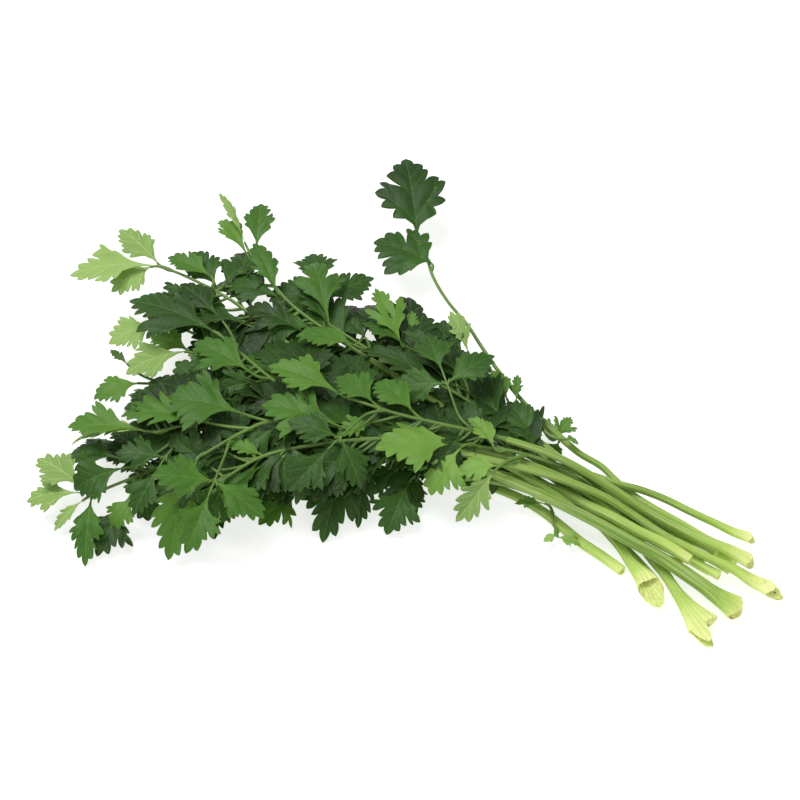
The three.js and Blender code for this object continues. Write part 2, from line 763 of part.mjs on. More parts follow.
// Directions a leaflet is moved in to clear its neighbours, in the order
// they are tried: a slide along SLIDE_WAY at its base and at its tip, and a
// change of roll.
const SLIDE_WAY = new THREE.Vector3(0.27, -0.58, 0.77);
const SLIDES = [0, -2, 2, -4, 4, -6.5, 6.5, -9, 9, -12, 12, -16, 16, 20];
const TIP_SLIDES = [0, -4, 4, -8, 8];
const TURNS = [0, 18, -18, 36, -36];
const HOPS = [0, 6, -5];
const SPRAY_RISE = 2;               // the most a spray slides up
const TIP_COST = 0.6;
const TURN_COST = 0.12;
const HOP_COST = 0.3;
const LEAST_BASE = 0.8;             // lowest a leaflet's base and its tip go
const LEAST_TIP = 0.6;

function posturesInOrder() {
  const list = [];
  for (const slide of SLIDES) {
    for (const tip of TIP_SLIDES) {
      for (const turn of TURNS) {
        for (const hop of HOPS) {
          const cost = Math.abs(slide) + Math.abs(tip) * TIP_COST + Math.abs(turn) * TURN_COST
            + Math.abs(hop) * HOP_COST;
          list.push({ slide, tip, turn, hop, cost });
        }
      }
    }
  }
  return list.sort((a, b) => a.cost - b.cost);
}

function firstLeafy(line) {
  return Math.round(line.stem.fork * (line.now.length - 1)) + 1;
}

function nearestStation(stations, first, point) {
  let best = first;
  for (let i = first; i < stations.length; i++) {
    if (stations[i].distanceTo(point) < stations[best].distanceTo(point)) best = i;
  }
  return best;
}

// Where a leaflet's stalklet leaves the stem: a little way back from the
// point of the stem nearest to its base.
function rootFor(line, base) {
  const first = firstLeafy(line);
  const best = nearestStation(line.now, first, base);
  const gap = line.now[best].distanceTo(base);
  const back = Math.round((gap * ROOT_BACK[0] + ROOT_BACK[1]) / STATION_STEP);
  return line.now[Math.max(first, best - back)];
}

// A leaflet row carried along by the settling of its stem.
function carried(line, row) {
  const best = nearestStation(line.wish, firstLeafy(line), row.base);
  const moved = line.now[best].clone().sub(line.wish[best]);
  row.base.add(moved);
  row.tip.addScaledVector(moved, TIP_CARRY);
  return row;
}

function within([least, range], draw) {
  return least + range * draw();
}

function rowOf(cells, draw) {
  const [bx, by, bz, tx, ty, tz, width, roll, form, fold] = cells;
  return {
    base: new THREE.Vector3(bx, by, bz),
    tip: new THREE.Vector3(tx, ty, tz),
    width,
    roll,
    form,
    fold,
    curl: within(CURL, draw),
    wave: WAVE * draw(),
    phase: FULL_TURN * draw(),
  };
}

// Sprays of three leaflets added by rule along the leafy part: in turn left and right,
// leaning forward, lower than the stem they grow from.
function spareRows(line, count, draw) {
  const rows = [];
  const first = firstLeafy(line) + 1;
  const last = line.now.length - 3;
  for (let k = 0; k < count; k++) {
    const share = (k + within(SPRAY.place, draw)) / count;
    const i = Math.round(first + (last - first) * share);
    const at = line.now[i];
    const along = line.now[i + 1].clone().sub(line.now[i - 1]).setZ(0).normalize();
    const side = k % 2 ? 1 : -1;
    const splay = side * within(SPRAY.splay, draw);
    const way = along.clone().applyAxisAngle(new THREE.Vector3(0, 0, 1), splay);
    const length = within(SPRAY.length, draw);
    const reach = within(SPRAY.reach, draw);
    const drop = within(SPRAY.drop, draw);
    const base = at.clone().addScaledVector(way, reach);
    base.z = Math.max(SPRAY.leastBase, at.z - drop);
    const tip = base.clone().addScaledVector(way, length);
    tip.z = Math.max(SPRAY.leastTip, base.z + within(SPRAY.droop, draw));
    rows.push({
      base,
      tip,
      width: length * within(SPRAY.stoutness, draw),
      roll: within(SPRAY.roll, draw),
      form: 'trefoil',
      fold: within(SPRAY.fold, draw),
      curl: within(SPRAY.curl, draw),
      wave: WAVE * draw(),
      phase: FULL_TURN * draw(),
      spare: true,
    });
  }
  return rows;
}

function posed(row, posture) {
  return {
    base: row.base.clone().addScaledVector(SLIDE_WAY, posture.slide),
    tip: row.tip.clone().addScaledVector(SLIDE_WAY, posture.slide + posture.tip),
    row: { ...row, roll: row.roll + posture.turn, hop: posture.hop },
  };
}

function boxOf(solid) {
  const { min, max } = solid.boundingBox();
  return new THREE.Box3(new THREE.Vector3(...min), new THREE.Vector3(...max));
}

// Whether a leaflet misses everything of the other nodes, and its blade
// misses the blades beside it on its own stem.
function clearOf(solid, placed, own, root, free) {
  const box = boxOf(solid);
  for (const other of placed) {
    if (!other.box.intersectsBox(box)) continue;
    const shared = solid.intersect(other.solid);
    let clear = shared.isEmpty();
    if (!clear && other.node === own) {
      const { min, max } = shared.boundingBox();
      const middle = new THREE.Vector3(...min).add(new THREE.Vector3(...max)).multiplyScalar(0.5);
      clear = middle.distanceTo(root) < free;
    }
    shared.delete();
    if (!clear) return false;
  }
  return true;
}

// The first posture that clears everything and joins its stem cleanly.
function placeLeaflet(line, k, row, postures, placed, bodies) {
  const own = `leaves_${k}`;
  for (const posture of postures) {
    const { base, tip, row: turned } = posed(row, posture);
    if (base.z < LEAST_BASE || tip.z < LEAST_TIP) continue;
    if (row.spare && posture.slide > SPRAY_RISE) continue;
    const root = rootFor(line, base);
    const fat = leafletSolid(root, base, tip, turned, CLEARANCE);
    const free = root.distanceTo(base) + OWN_SHARE * tip.distanceTo(base);
    const clear = clearOf(fat, placed, own, root, free);
    fat.delete();
    if (!clear) continue;
    const solid = leafletSolid(root, base, tip, turned, 0);
    const joined = bodies[k].add(solid).simplify(SHORT_EDGE);
    if (!isClean(joined)) continue;
    bodies[k] = joined;
    placed.push({ node: own, solid, box: boxOf(solid) });
    return;
  }
}

// ---- fusing and naming --------------------------------------------------

function geometryOf(vertices, triangles) {
  const geometry = new THREE.BufferGeometry();
  geometry.setAttribute('position', new THREE.BufferAttribute(vertices, 3));
  geometry.setIndex(Array.from(triangles));
  return geometry;
}

// One body whose skin stays whole when its close vertices are merged.
function isClean(solid) {
  const { vertProperties, triVerts } = solid.getMesh();
  const merged = mergeVertices(geometryOf(vertProperties, triVerts), MERGE_DISTANCE);
  const again = solidOf(merged.attributes.position.array, merged.index.array);
  return again.decompose().length === 1 && again.numVert() === merged.attributes.position.count
    && again.numTri() === triVerts.length / 3;
}

function meshOf(solid, name, material, shift) {
  const { vertProperties, triVerts } = solid.getMesh();
  const geometry = geometryOf(vertProperties, triVerts);
  geometry.translate(shift[0], shift[1], 0);
  const mesh = new THREE.Mesh(geometry, material);
  mesh.name = name;
  return mesh;
}

const STALK_COLOUR = new THREE.Color(0.55, 0.68, 0.22);
const LEAF_COLOUR = new THREE.Color(0.13, 0.3, 0.07);

function buildBunch() {
  const lines = settledLines();
  const placed = [];
  const forkAt = (line) => Math.round(line.stem.fork * (line.now.length - 1));
  const stalks = lines.map((line, k) => {
    if (line.stem.fork === 0) return null;
    const solid = stemSolid(line, 0, forkAt(line), STALK_SIDES, STALK_SPAN, 0);
    placed.push({ node: `stalk_${k}`, solid, box: boxOf(solid) });
    return solid;
  });
  const leafy = lines.map((line, k) => {
    const last = line.now.length - 1;
    const solid = stemSolid(line, forkAt(line), last, RACHIS_SIDES, RACHIS_SPAN, FORK_GAP);
    placed.push({ node: `leaves_${k}`, solid, box: boxOf(solid) });
    return solid;
  });
  const postures = posturesInOrder();
  const draw = draws(20117);
  const wanted = [];
  lines.forEach((line, k) => {
    for (const cells of line.stem.leaflets) {
      wanted.push({ line, k, row: carried(line, rowOf(cells, draw)) });
    }
  });
  wanted.sort((a, b) => b.row.base.z + b.row.tip.z - a.row.base.z - a.row.tip.z);
  for (const { line, k, row } of wanted) {
    placeLeaflet(line, k, row, postures, placed, leafy);
  }
  lines.forEach((line, k) => {
    for (const row of spareRows(line, line.stem.sprays, draw)) {
      placeLeaflet(line, k, row, postures, placed, leafy);
    }
  });
  const bunch = new THREE.Group();
  lines.forEach((line, k) => {
    const label = String(k + 1).padStart(2, '0');
    if (stalks[k]) {
      const material = new THREE.MeshStandardMaterial({
        color: STALK_COLOUR, roughness: 0.45, metalness: 0 });
      material.name = 'stalk';
      bunch.add(meshOf(stalks[k], `stalk_${label}`, material, CENTRE_SHIFT));
    }
    const material = new THREE.MeshStandardMaterial({
      color: LEAF_COLOUR, roughness: 0.55, metalness: 0 });
    material.name = 'leaf';
    bunch.add(meshOf(leafy[k], `leaves_${label}`, material, CENTRE_SHIFT));
  });
  return bunch;
}

export default buildBunch();
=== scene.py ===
import math

import bmesh
import bpy
import numpy as np
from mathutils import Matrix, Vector, kdtree
from mathutils.geometry import delaunay_2d_cdt


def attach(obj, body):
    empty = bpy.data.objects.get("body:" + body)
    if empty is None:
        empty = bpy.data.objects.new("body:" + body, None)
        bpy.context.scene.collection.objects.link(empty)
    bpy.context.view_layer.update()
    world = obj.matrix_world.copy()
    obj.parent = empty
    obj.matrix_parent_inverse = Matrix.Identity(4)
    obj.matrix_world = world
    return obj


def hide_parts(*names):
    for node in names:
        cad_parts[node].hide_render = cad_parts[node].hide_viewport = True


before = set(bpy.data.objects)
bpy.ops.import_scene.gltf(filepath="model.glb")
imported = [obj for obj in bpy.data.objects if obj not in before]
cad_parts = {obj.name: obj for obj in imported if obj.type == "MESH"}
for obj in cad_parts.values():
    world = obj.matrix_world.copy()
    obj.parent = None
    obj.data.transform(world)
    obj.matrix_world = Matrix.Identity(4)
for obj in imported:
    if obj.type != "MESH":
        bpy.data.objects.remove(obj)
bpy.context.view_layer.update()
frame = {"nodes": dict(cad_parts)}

# ---- Bare stalks --------------------------------------------------------
# The leafless lower part of each of 18 stems: juicy and ribbed with a groove
# on top, pale where its foot clasped the root and was cut off, green above.
# Nothing ties the sheaf, so the stems lie on each other and on the table.

# Each stem in millimetres from its cut end on: how it ends, its radius, the
# share of its run that is bare, the tones of its small sprays, and its route.
STEMS = [
    {
        "name": "front_top",
        "end": "slim",
        "radius": 1.6,
        "fork": 0.64,
        "sprays": (),
        "route": [
            (163, -11, 5), (156, -12, 6), (148, -12, 7), (137, -12, 8), (124, -12, 9),
            (107, -15, 11), (94, -16, 13), (73, -19, 17), (56, -23, 19), (42, -28, 20),
        ],
    },
    {
        "name": "centre_top",
        "end": "thick",
        "radius": 2.0,
        "fork": 0.62,
        "sprays": (0.2, 0.2),
        "route": [
            (167, -27, 6), (157, -26, 7), (146, -26, 8), (132, -24, 9), (119, -22, 10),
            (100, -19, 13), (74, -17, 17), (49, -20, 22), (30, -26, 27), (14, -31, 31), (3, -33, 33),
            (-9, -34, 34),
        ],
    },
    {
        "name": "front_long",
        "end": "sheath",
        "radius": 1.8,
        "fork": 0.66,
        "sprays": (),
        "route": [
            (179, -32, 4), (169, -31, 4), (162, -30, 5), (147, -29, 6), (129, -27, 7), (115, -24, 8),
            (99, -23, 11), (71, -25, 15), (46, -31, 20), (14, -42, 27), (-6, -55, 29),
            (-28, -72, 28), (-40, -88, 23),
        ],
    },
    {
        "name": "left_high",
        "end": "fan",
        "radius": 2.9,
        "fork": 0.6,
        "sprays": (0.2, 0.44),
        "route": [
            (168, -46, 6), (159, -45, 8), (152, -44, 10), (143, -42, 11), (134, -40, 12),
            (125, -39, 13), (106, -36, 14), (86, -33, 14), (60, -32, 16), (34, -34, 19),
            (9, -40, 23), (-11, -45, 27), (-33, -57, 31), (-40, -66, 31), (-51, -84, 29),
        ],
    },
    {
        "name": "left_back",
        "end": "wide",
        "radius": 2.3,
        "fork": 0.66,
        "sprays": (0.2, 0.2),
        "route": [
            (159, -59, 5), (149, -52, 4), (141, -46, 4), (134, -40, 4), (126, -34, 4), (115, -28, 5),
            (102, -24, 7), (83, -22, 11), (56, -23, 14), (23, -31, 19), (-6, -36, 23),
            (-35, -36, 27), (-58, -30, 31), (-75, -24, 33),
        ],
    },
    {
        "name": "front_low",
        "end": "open",
        "radius": 2.3,
        "fork": 0.66,
        "sprays": (0.2, 0.2),
        "route": [
            (138, -55, 5), (131, -49, 5), (123, -43, 4), (115, -36, 4), (105, -30, 4), (96, -24, 5),
            (84, -22, 6), (69, -19, 7), (43, -23, 9), (15, -32, 10), (-5, -45, 12), (-18, -56, 12),
        ],
    },
    {
        "name": "front_right",
        "end": "cut",
        "radius": 2.6,
        "fork": 0.72,
        "sprays": (0.2, 0.2),
        "route": [
            (145, -35, 5), (134, -33, 6), (122, -31, 6), (107, -26, 7), (92, -22, 8), (79, -22, 9),
            (58, -26, 10), (39, -33, 10), (22, -40, 9),
        ],
    },
    {
        "name": "lone",
        "end": "cut",
        "radius": 1.3,
        "fork": 0.46,
        "sprays": (),
        "route": [
            (156, -26, 3), (146, -25, 4), (135, -23, 5), (123, -20, 6), (111, -16, 7), (102, -11, 8),
            (95, -7, 9), (84, -4, 10), (75, 0, 11), (63, 6, 12), (51, 13, 12), (35, 24, 13),
            (24, 33, 13), (14, 41, 14), (0, 50, 15), (-12, 61, 15), (-21, 73, 15), (-27, 80, 15),
        ],
    },
    {
        "name": "back_right",
        "end": "cut",
        "radius": 1.4,
        "fork": 0.74,
        "sprays": (),
        "route": [
            (157, -32, 3), (143, -30, 4), (120, -26, 5), (96, -21, 8), (71, -14, 12), (50, -8, 15),
            (34, -3, 18), (21, -1, 20),
        ],
    },
    {
        "name": "back_mid",
        "end": "cut",
        "radius": 1.4,
        "fork": 0.76,
        "sprays": (),
        "route": [
            (153, -28, 2), (134, -26, 2), (117, -24, 3), (96, -19, 6), (69, -8, 10), (42, 1, 13),
            (14, 10, 16), (-6, 18, 18),
        ],
    },
    {
        "name": "back",
        "end": "cut",
        "radius": 1.4,
        "fork": 0.72,
        "sprays": (),
        "route": [
            (153, -26, 4), (132, -23, 5), (109, -18, 6), (80, -12, 8), (39, -4, 12), (-2, 3, 17),
            (-22, 5, 21), (-37, 8, 23),
        ],
    },
    {
        "name": "top_left",
        "end": "cut",
        "radius": 1.5,
        "fork": 0.7,
        "sprays": (0.2, 0.2),
        "route": [
            (160, -24, 3), (141, -22, 4), (118, -19, 5), (81, -16, 9), (32, -9, 14), (-15, 1, 19),
            (-54, 9, 25), (-65, 14, 26), (-79, 23, 27), (-86, 28, 27),
        ],
    },
    {
        "name": "left_far",
        "end": "cut",
        "radius": 1.5,
        "fork": 0.66,
        "sprays": (),
        "route": [
            (149, -27, 3), (124, -24, 4), (100, -19, 5), (78, -19, 8), (46, -18, 12), (1, -11, 16),
            (-44, -9, 21), (-83, 1, 26), (-105, 4, 27), (-120, 5, 27),
        ],
    },
    {
        "name": "left",
        "end": "cut",
        "radius": 1.5,
        "fork": 0.66,
        "sprays": (0.2, 0.2),
        "route": [
            (141, -30, 2), (121, -27, 3), (101, -21, 4), (81, -21, 6), (42, -20, 10), (1, -22, 14),
            (-39, -27, 18), (-66, -31, 21), (-85, -33, 23),
        ],
    },
    {
        "name": "left_front",
        "end": "cut",
        "radius": 2.2,
        "fork": 0.66,
        "sprays": (),
        "route": [
            (121, -44, 3), (111, -41, 3), (100, -38, 3), (90, -34, 3), (80, -30, 3), (66, -27, 3),
            (45, -28, 3), (8, -36, 5), (-28, -50, 9), (-59, -72, 12), (-79, -95, 12),
            (-90, -110, 12),
        ],
    },
    {
        "name": "front_left",
        "end": "cut",
        "radius": 1.6,
        "fork": 0.72,
        "sprays": (),
        "route": [
            (136, -41, 2), (126, -35, 2), (113, -29, 2), (101, -25, 3), (85, -24, 3), (67, -25, 3),
            (43, -32, 4), (7, -46, 5), (-17, -62, 6), (-49, -81, 6),
        ],
    },
    {
        "name": "left_mid",
        "end": "cut",
        "radius": 1.6,
        "fork": 0.66,
        "sprays": (0.2, 0.2),
        "route": [
            (154, -40, 2), (142, -37, 3), (128, -35, 4), (105, -31, 6), (83, -26, 8), (52, -22, 12),
            (13, -28, 18), (-23, -39, 23), (-51, -58, 26), (-64, -68, 26), (-76, -78, 25),
        ],
    },
    {
        "name": "right_back",
        "end": "cut",
        "radius": 1.3,
        "fork": 0.8,
        "sprays": (),
        "route": [
            (159, -28, 3), (144, -26, 4), (119, -23, 6), (94, -16, 9), (76, -11, 11), (63, -4, 11),
            (50, 5, 12),
        ],
    },
    {
        "name": "young_low",
        "end": "young",
        "radius": 0.9,
        "fork": 0,
        "sprays": (),
        "route": [
            (85, -33, 4), (86, -36, 4), (88, -39, 3), (91, -42, 3),
        ],
    },
]

TO_METRES = 0.001
CENTRE_SHIFT = np.array([-13.0, 7.5, 0.0])  # puts the whole sheaf round the origin
STATION_STEP = 3.0          # along a stem
FINE_MARKS = 200            # of a route, to measure it by
LEAST_HEIGHT = 0.02         # over the table
RACHIS_TOP_RADIUS = 1.15    # the leafy part's own stem, from its fork to its tip
RACHIS_TIP_RADIUS = 0.7
FORK_SWELL = 1.25           # of the leaf stem's radius, where the bare stalk ends
STEM_GAP = 1.3              # between settled stems
SETTLING_ROUNDS = 360
CLOSE_BY = 13               # stations nearer than this, seen from above, may meet
LEAST_PUSH_UP = 0.8         # lets crossing stems pass over each other
STATION_HOLD = 0.998        # of a station's shift sideways lasts a round
HEIGHT_HOLD = 0.999         # and of its shift in height
OWN_PART = 0.5              # of a station's new shift; the rest is its two neighbours'
WIDE_PART = 0.55            # a stem counts as this much of its half width
HIGH_PART = 0.45            # and of its half height
SIDE_PUSH = 0.5             # of the way sideways, so that stems rather pass over
CROWD_EASE = 0.6            # spreads out the pushes that a station gets at once
ENDS = {                    # half width, half height, length of the flare
    "slim": (2.6, 1.7, 20.0),
    "thick": (3.2, 2.6, 26.0),
    "sheath": (3.6, 2.6, 30.0),
    "fan": (5.8, 2.0, 18.0),
    "wide": (7.0, 2.0, 24.0),
    "open": (5.2, 2.6, 30.0),
    "cut": (2.2, 1.8, 16.0),
    "young": (1.6, 1.3, 8.0),
}


def nearest_whole(value):
    return int(math.floor(value + 0.5))


def unit(v):
    return v / np.linalg.norm(v, axis=-1, keepdims=True)


def route_points(route, shares):
    """Points of a centripetal spline through the route."""
    points = np.array(route, float)
    first = 2 * points[0] - points[1]
    last = 2 * points[-1] - points[-2]
    held = np.vstack([first, points, last])
    spans = len(points) - 1
    at = np.asarray(shares) * spans
    k = np.minimum(np.floor(at).astype(int), spans - 1)
    w = (at - k)[:, None]
    p0, p1, p2, p3 = held[k], held[k + 1], held[k + 2], held[k + 3]
    d0, d1, d2 = (
        (np.sum((a - b) ** 2, axis=1) ** 0.25)[:, None]
        for a, b in ((p0, p1), (p1, p2), (p2, p3))
    )
    t1 = ((p1 - p0) / d0 - (p2 - p0) / (d0 + d1) + (p2 - p1) / d1) * d1
    t2 = ((p2 - p1) / d1 - (p3 - p1) / (d1 + d2) + (p3 - p2) / d2) * d1
    return (
        p1 + t1 * w + (3 * (p2 - p1) - 2 * t1 - t2) * w**2
        + (2 * (p1 - p2) + t1 + t2) * w**3
    )


def stations_of(route):
    """Evenly spaced points of the route and its length."""
    shares = np.arange(FINE_MARKS + 1) / FINE_MARKS
    marks = route_points(route, shares)
    steps = np.sqrt(np.sum(np.diff(marks, axis=0) ** 2, axis=1))
    run = np.concatenate([[0.0], np.cumsum(steps)])
    count = nearest_whole(run[-1] / STATION_STEP)
    even = np.interp(np.arange(count + 1) / count * run[-1], run, shares)
    return route_points(route, even), run[-1]


def stem_sizes(stem, shares, length):
    """Half width and half height of a stem at shares of its length."""
    wide_end, high_end, flare_run = ENDS[stem["end"]]
    bare = np.maximum(stem["fork"], 0.001)
    radius = stem["radius"] + (RACHIS_TOP_RADIUS * FORK_SWELL - stem["radius"]) * shares / bare
    rest = (shares - stem["fork"]) / (1 - stem["fork"] + 1e-6)
    leafy = RACHIS_TOP_RADIUS + (RACHIS_TIP_RADIUS - RACHIS_TOP_RADIUS) * rest
    radius = np.where(shares > stem["fork"], leafy, radius)
    flare = np.maximum(0, 1 - shares * length / flare_run) ** 2
    return radius + (wide_end - radius) * flare, radius + (high_end - radius) * flare


def settle(lines):
    """Eases the stems apart until none is nearer than the gap to another."""
    starts = np.cumsum([0] + [len(line["wish"]) for line in lines])
    wish = np.vstack([line["wish"] for line in lines])
    keep = np.concatenate([line["wide"] * WIDE_PART + line["high"] * HIGH_PART for line in lines])
    owner = np.repeat(np.arange(len(lines)), np.diff(starts))
    close = np.max(np.abs(wish[:, None, :2] - wish[None, :, :2]), axis=2) < CLOSE_BY
    a, b = np.nonzero(close & (owner[:, None] < owner[None, :]))
    need = keep[a] + keep[b] + STEM_GAP
    total = len(wish)
    before = np.maximum(np.arange(total) - 1, starts[owner])
    after = np.minimum(np.arange(total) + 1, starts[owner + 1] - 1)
    now = wish.copy()
    for _ in range(SETTLING_ROUNDS):
        way = now[b] - now[a]
        apart = np.sqrt(np.sum(way**2, axis=1))
        hit = apart < need
        lean = way[hit] * [SIDE_PUSH, SIDE_PUSH, 1.0]
        lean[:, 2] += np.where(way[hit][:, 2] >= -1e-6, LEAST_PUSH_UP, -LEAST_PUSH_UP)
        size = np.sqrt(np.sum(lean**2, axis=1))
        push = lean * ((need[hit] - apart[hit]) * 0.5 / size)[:, None]
        ends = np.concatenate([a[hit], b[hit]])
        both = np.vstack([-push, push])
        moved = np.stack([np.bincount(ends, both[:, c], total) for c in range(3)], axis=1)
        met = np.maximum(1, np.bincount(ends, minlength=total) * CROWD_EASE)[:, None]
        off = (now - wish) * [STATION_HOLD, STATION_HOLD, HEIGHT_HOLD] + moved / met
        now = wish + off * OWN_PART + (off[before] + off[after]) * ((1 - OWN_PART) / 2)
        now[:, 2] = np.maximum(now[:, 2], keep + LEAST_HEIGHT)
    for line, start, end in zip(lines, starts[:-1], starts[1:]):
        line["now"] = now[start:end]


lines = []
for stem in STEMS:
    points, length = stations_of(stem["route"])
    shares = np.arange(len(points)) / (len(points) - 1)
    wide, high = stem_sizes(stem, shares, length)
    lines.append({"stem": stem, "wish": points, "wide": wide, "high": high,
                  "fork": nearest_whole(stem["fork"] * (len(points) - 1))})
settle(lines)


class Build:
    """Collects the skin of one piece: points, faces, and what each holds."""

    def __init__(self):
        self.points, self.faces, self.slots, self.uv, self.tone = [], [], [], [], []
        self.count = 0

    def add(self, points, faces, slots, uv, tone):
        self.points.append(points)
        self.faces.append(np.asarray(faces) + self.count)
        self.slots.append(np.broadcast_to(slots, len(faces)))
        self.uv.append(uv)
        self.tone.append(np.broadcast_to(tone, len(points)))
        self.count += len(points)

    def piece(self, name, materials, node, slot):
        """The collected skin as a smooth object that stands for a CAD node."""
        points = (np.vstack(self.points) + CENTRE_SHIFT) * TO_METRES
        faces = np.vstack(self.faces)
        mesh = bpy.data.meshes.new(name)
        mesh.from_pydata(points.tolist(), [], faces.tolist())
        for material in materials:
            mesh.materials.append(material)
        mesh.polygons.foreach_set("material_index", np.concatenate(self.slots).astype(np.int32))
        mesh.polygons.foreach_set("use_smooth", np.ones(len(faces), bool))
        place = mesh.uv_layers.new(name="place")
        uv = np.vstack(self.uv)[faces.ravel()]
        place.data.foreach_set("uv", uv.astype(np.float32).ravel())
        tone = mesh.attributes.new("tone", "FLOAT", "POINT")
        tone.data.foreach_set("value", np.concatenate(self.tone).astype(np.float32))
        mesh.validate()
        piece = bpy.data.objects.new(name, mesh)
        bpy.context.scene.collection.objects.link(piece)
        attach(piece, "root")
        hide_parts(node)
        return piece


CAP_SHARES = (1.0, 0.88, 0.74, 0.56, 0.30, 0.0)     # rings of an end's cap, of its rim
CAP_DEPTHS = (0.0, 0.02, 0.2, 0.5, 0.85, 1.0)       # how deep each lies in a hollow end
CAP_PLACE = 10                                      # of a cap's middle, before the first ring


def tube(build, centres, frames, profile, slot, tone, along, cap_depth=0.0):
    """A closed tube: profile gives its rings' points across, up and ahead.

    The first end may be hollow: its cap then sinks in by cap_depth.
    """
    rings, sides = profile.shape[:2]
    tone = np.broadcast_to(tone, rings)
    points = centres[:, None] + sum(
        frames[k][:, None] * profile[..., k:k + 1] for k in range(profile.shape[2])
    )
    points = points.reshape(-1, 3)
    ring, side = np.meshgrid(np.arange(rings - 1), np.arange(sides), indexing="ij")
    a = (ring * sides + side).ravel()
    b = (ring * sides + (side + 1) % sides).ravel()
    faces = np.vstack([np.stack([a, b, b + sides], 1), np.stack([a, b + sides, a + sides], 1)])
    uv = np.stack([np.repeat(along, sides), np.tile(np.arange(sides) / sides, rings)], 1)
    build.add(points, faces, slot, uv, np.repeat(tone, sides))
    forward = unit(centres[1] - centres[0])
    for ring_at, way, depth in ((0, -1, cap_depth), (rings - 1, 1, 0.0)):
        rim = points[ring_at * sides:(ring_at + 1) * sides]
        middle = rim.mean(0)
        share = np.array(CAP_SHARES)
        sunk = depth * np.array(CAP_DEPTHS)
        cap = [rim + (middle - rim) * (1 - s) + forward * d for s, d in zip(share, sunk)]
        cap_points = np.vstack(cap[:-1] + [cap[-1][:1]])
        turns = len(share) - 2
        ring, side = np.meshgrid(np.arange(turns), np.arange(sides), indexing="ij")
        a = (ring * sides + side).ravel()
        b = (ring * sides + (side + 1) % sides).ravel()
        walls = np.vstack([np.stack([a, b, b + sides], 1),
                           np.stack([a, b + sides, a + sides], 1)])
        last = turns * sides + np.arange(sides)
        tip = np.full(sides, (turns + 1) * sides)
        lid = np.stack([last, np.roll(last, -1), tip], 1)
        cap_faces = np.vstack([walls, lid])
        if way < 0:
            cap_faces = cap_faces[:, ::-1]
        level = np.concatenate([np.repeat(share[:-1], sides), [0.0]])
        cap_uv = np.stack([np.full(len(level), along[ring_at]) - CAP_PLACE * (1 - level) * (way < 0),
                           np.append(np.tile(np.arange(sides) / sides, turns + 1), 0)], 1)
        build.add(cap_points, cap_faces, slot, cap_uv, tone[ring_at])


def frames_along(points):
    """Directions across (level), up and ahead at each point of a line."""
    ahead = np.vstack([points[1:], points[-1:]])
    behind = np.vstack([points[:1], points[:-1]])
    along = unit(ahead - behind)
    across = unit(np.stack([-along[:, 1], along[:, 0], np.zeros(len(along))], 1))
    return across, np.cross(along, across), along


def resampled(points, spacing):
    """A polyline through the same points as a smooth curve, evenly spaced."""
    run = np.concatenate([[0.0], np.cumsum(np.linalg.norm(np.diff(points, axis=0), axis=1))])
    marks = np.linspace(0, run[-1], max(2, nearest_whole(run[-1] / spacing) + 1))
    shares = np.interp(marks, run, np.linspace(0, 1, len(points)))
    return route_points(points, shares), shares, marks


class Shade:
    """One output in a material; sums and products with it add Math nodes."""

    def __init__(self, tree, socket):
        self.tree = tree
        self.socket = socket

    def node(self, kind, settings, values, output=0):
        """A new node: its settings first, then values or links of its sockets."""
        node = self.tree.nodes.new(kind)
        for name, value in settings.items():
            if name == "stops":
                marks = node.color_ramp.elements
                marks.remove(marks[1])
                marks[0].position, marks[0].color = value[0]
                for position, colour in value[1:]:
                    marks.new(position).color = colour
            else:
                setattr(node, name, value)
        for port, value in values.items():
            if isinstance(value, Shade):
                self.tree.links.new(value.socket, node.inputs[port])
            else:
                node.inputs[port].default_value = value
        return Shade(self.tree, node.outputs[output])

    def maths(self, operation, *values):
        return self.node("ShaderNodeMath", {"operation": operation}, dict(enumerate(values)))

    def __add__(self, other):
        return self.maths("ADD", self, other)

    def __sub__(self, other):
        return self.maths("SUBTRACT", self, other)

    def __rsub__(self, other):
        return self.maths("SUBTRACT", other, self)

    def __mul__(self, other):
        return self.maths("MULTIPLY", self, other)

    __radd__ = __add__
    __rmul__ = __mul__

    def ramp(self, low, high, start=0.0, end=1.0):
        """A smooth step of this value from low to high."""
        settings = {"interpolation_type": "SMOOTHSTEP"}
        return self.node("ShaderNodeMapRange", settings, {0: self, 1: low, 2: high, 3: start, 4: end})

    def blend(self, first, second):
        """The first colour where this value is 0, the second where it is 1."""
        settings = {"data_type": "RGBA"}
        return self.node("ShaderNodeMix", settings, {0: self, 6: first, 7: second}, 2)

    def colours(self, *stops):
        return self.node("ShaderNodeValToRGB", {"stops": stops}, {0: self})

    def noise(self, where, scale, detail=2.0):
        return self.node("ShaderNodeTexNoise", {}, {"Vector": where, "Scale": scale, "Detail": detail})


def shader_sheet(name):
    """A new material with its Principled shader and a starting Shade."""
    material = bpy.data.materials.new(name)
    material.use_nodes = True
    tree = material.node_tree
    shader = tree.nodes["Principled BSDF"]
    return material, shader, Shade(tree, None)


def srgb(red, green, blue):
    """A colour given as screen values from 0 to 255."""
    def linear(c):
        c = c / 255
        return c / 12.92 if c <= 0.04045 else ((c + 0.055) / 1.055) ** 2.4
    return (linear(red), linear(green), linear(blue), 1.0)


def finish_shader(start, shader, sockets, bump=None, strength=0.3, distance=0.0005):
    for port, value in sockets.items():
        if isinstance(value, Shade):
            start.tree.links.new(value.socket, shader.inputs[port])
        else:
            shader.inputs[port].default_value = value
    if bump is not None:
        normal = start.node("ShaderNodeBump", {}, {"Strength": strength, "Distance": distance,
                                                   "Height": bump})
        start.tree.links.new(normal.socket, shader.inputs["Normal"])


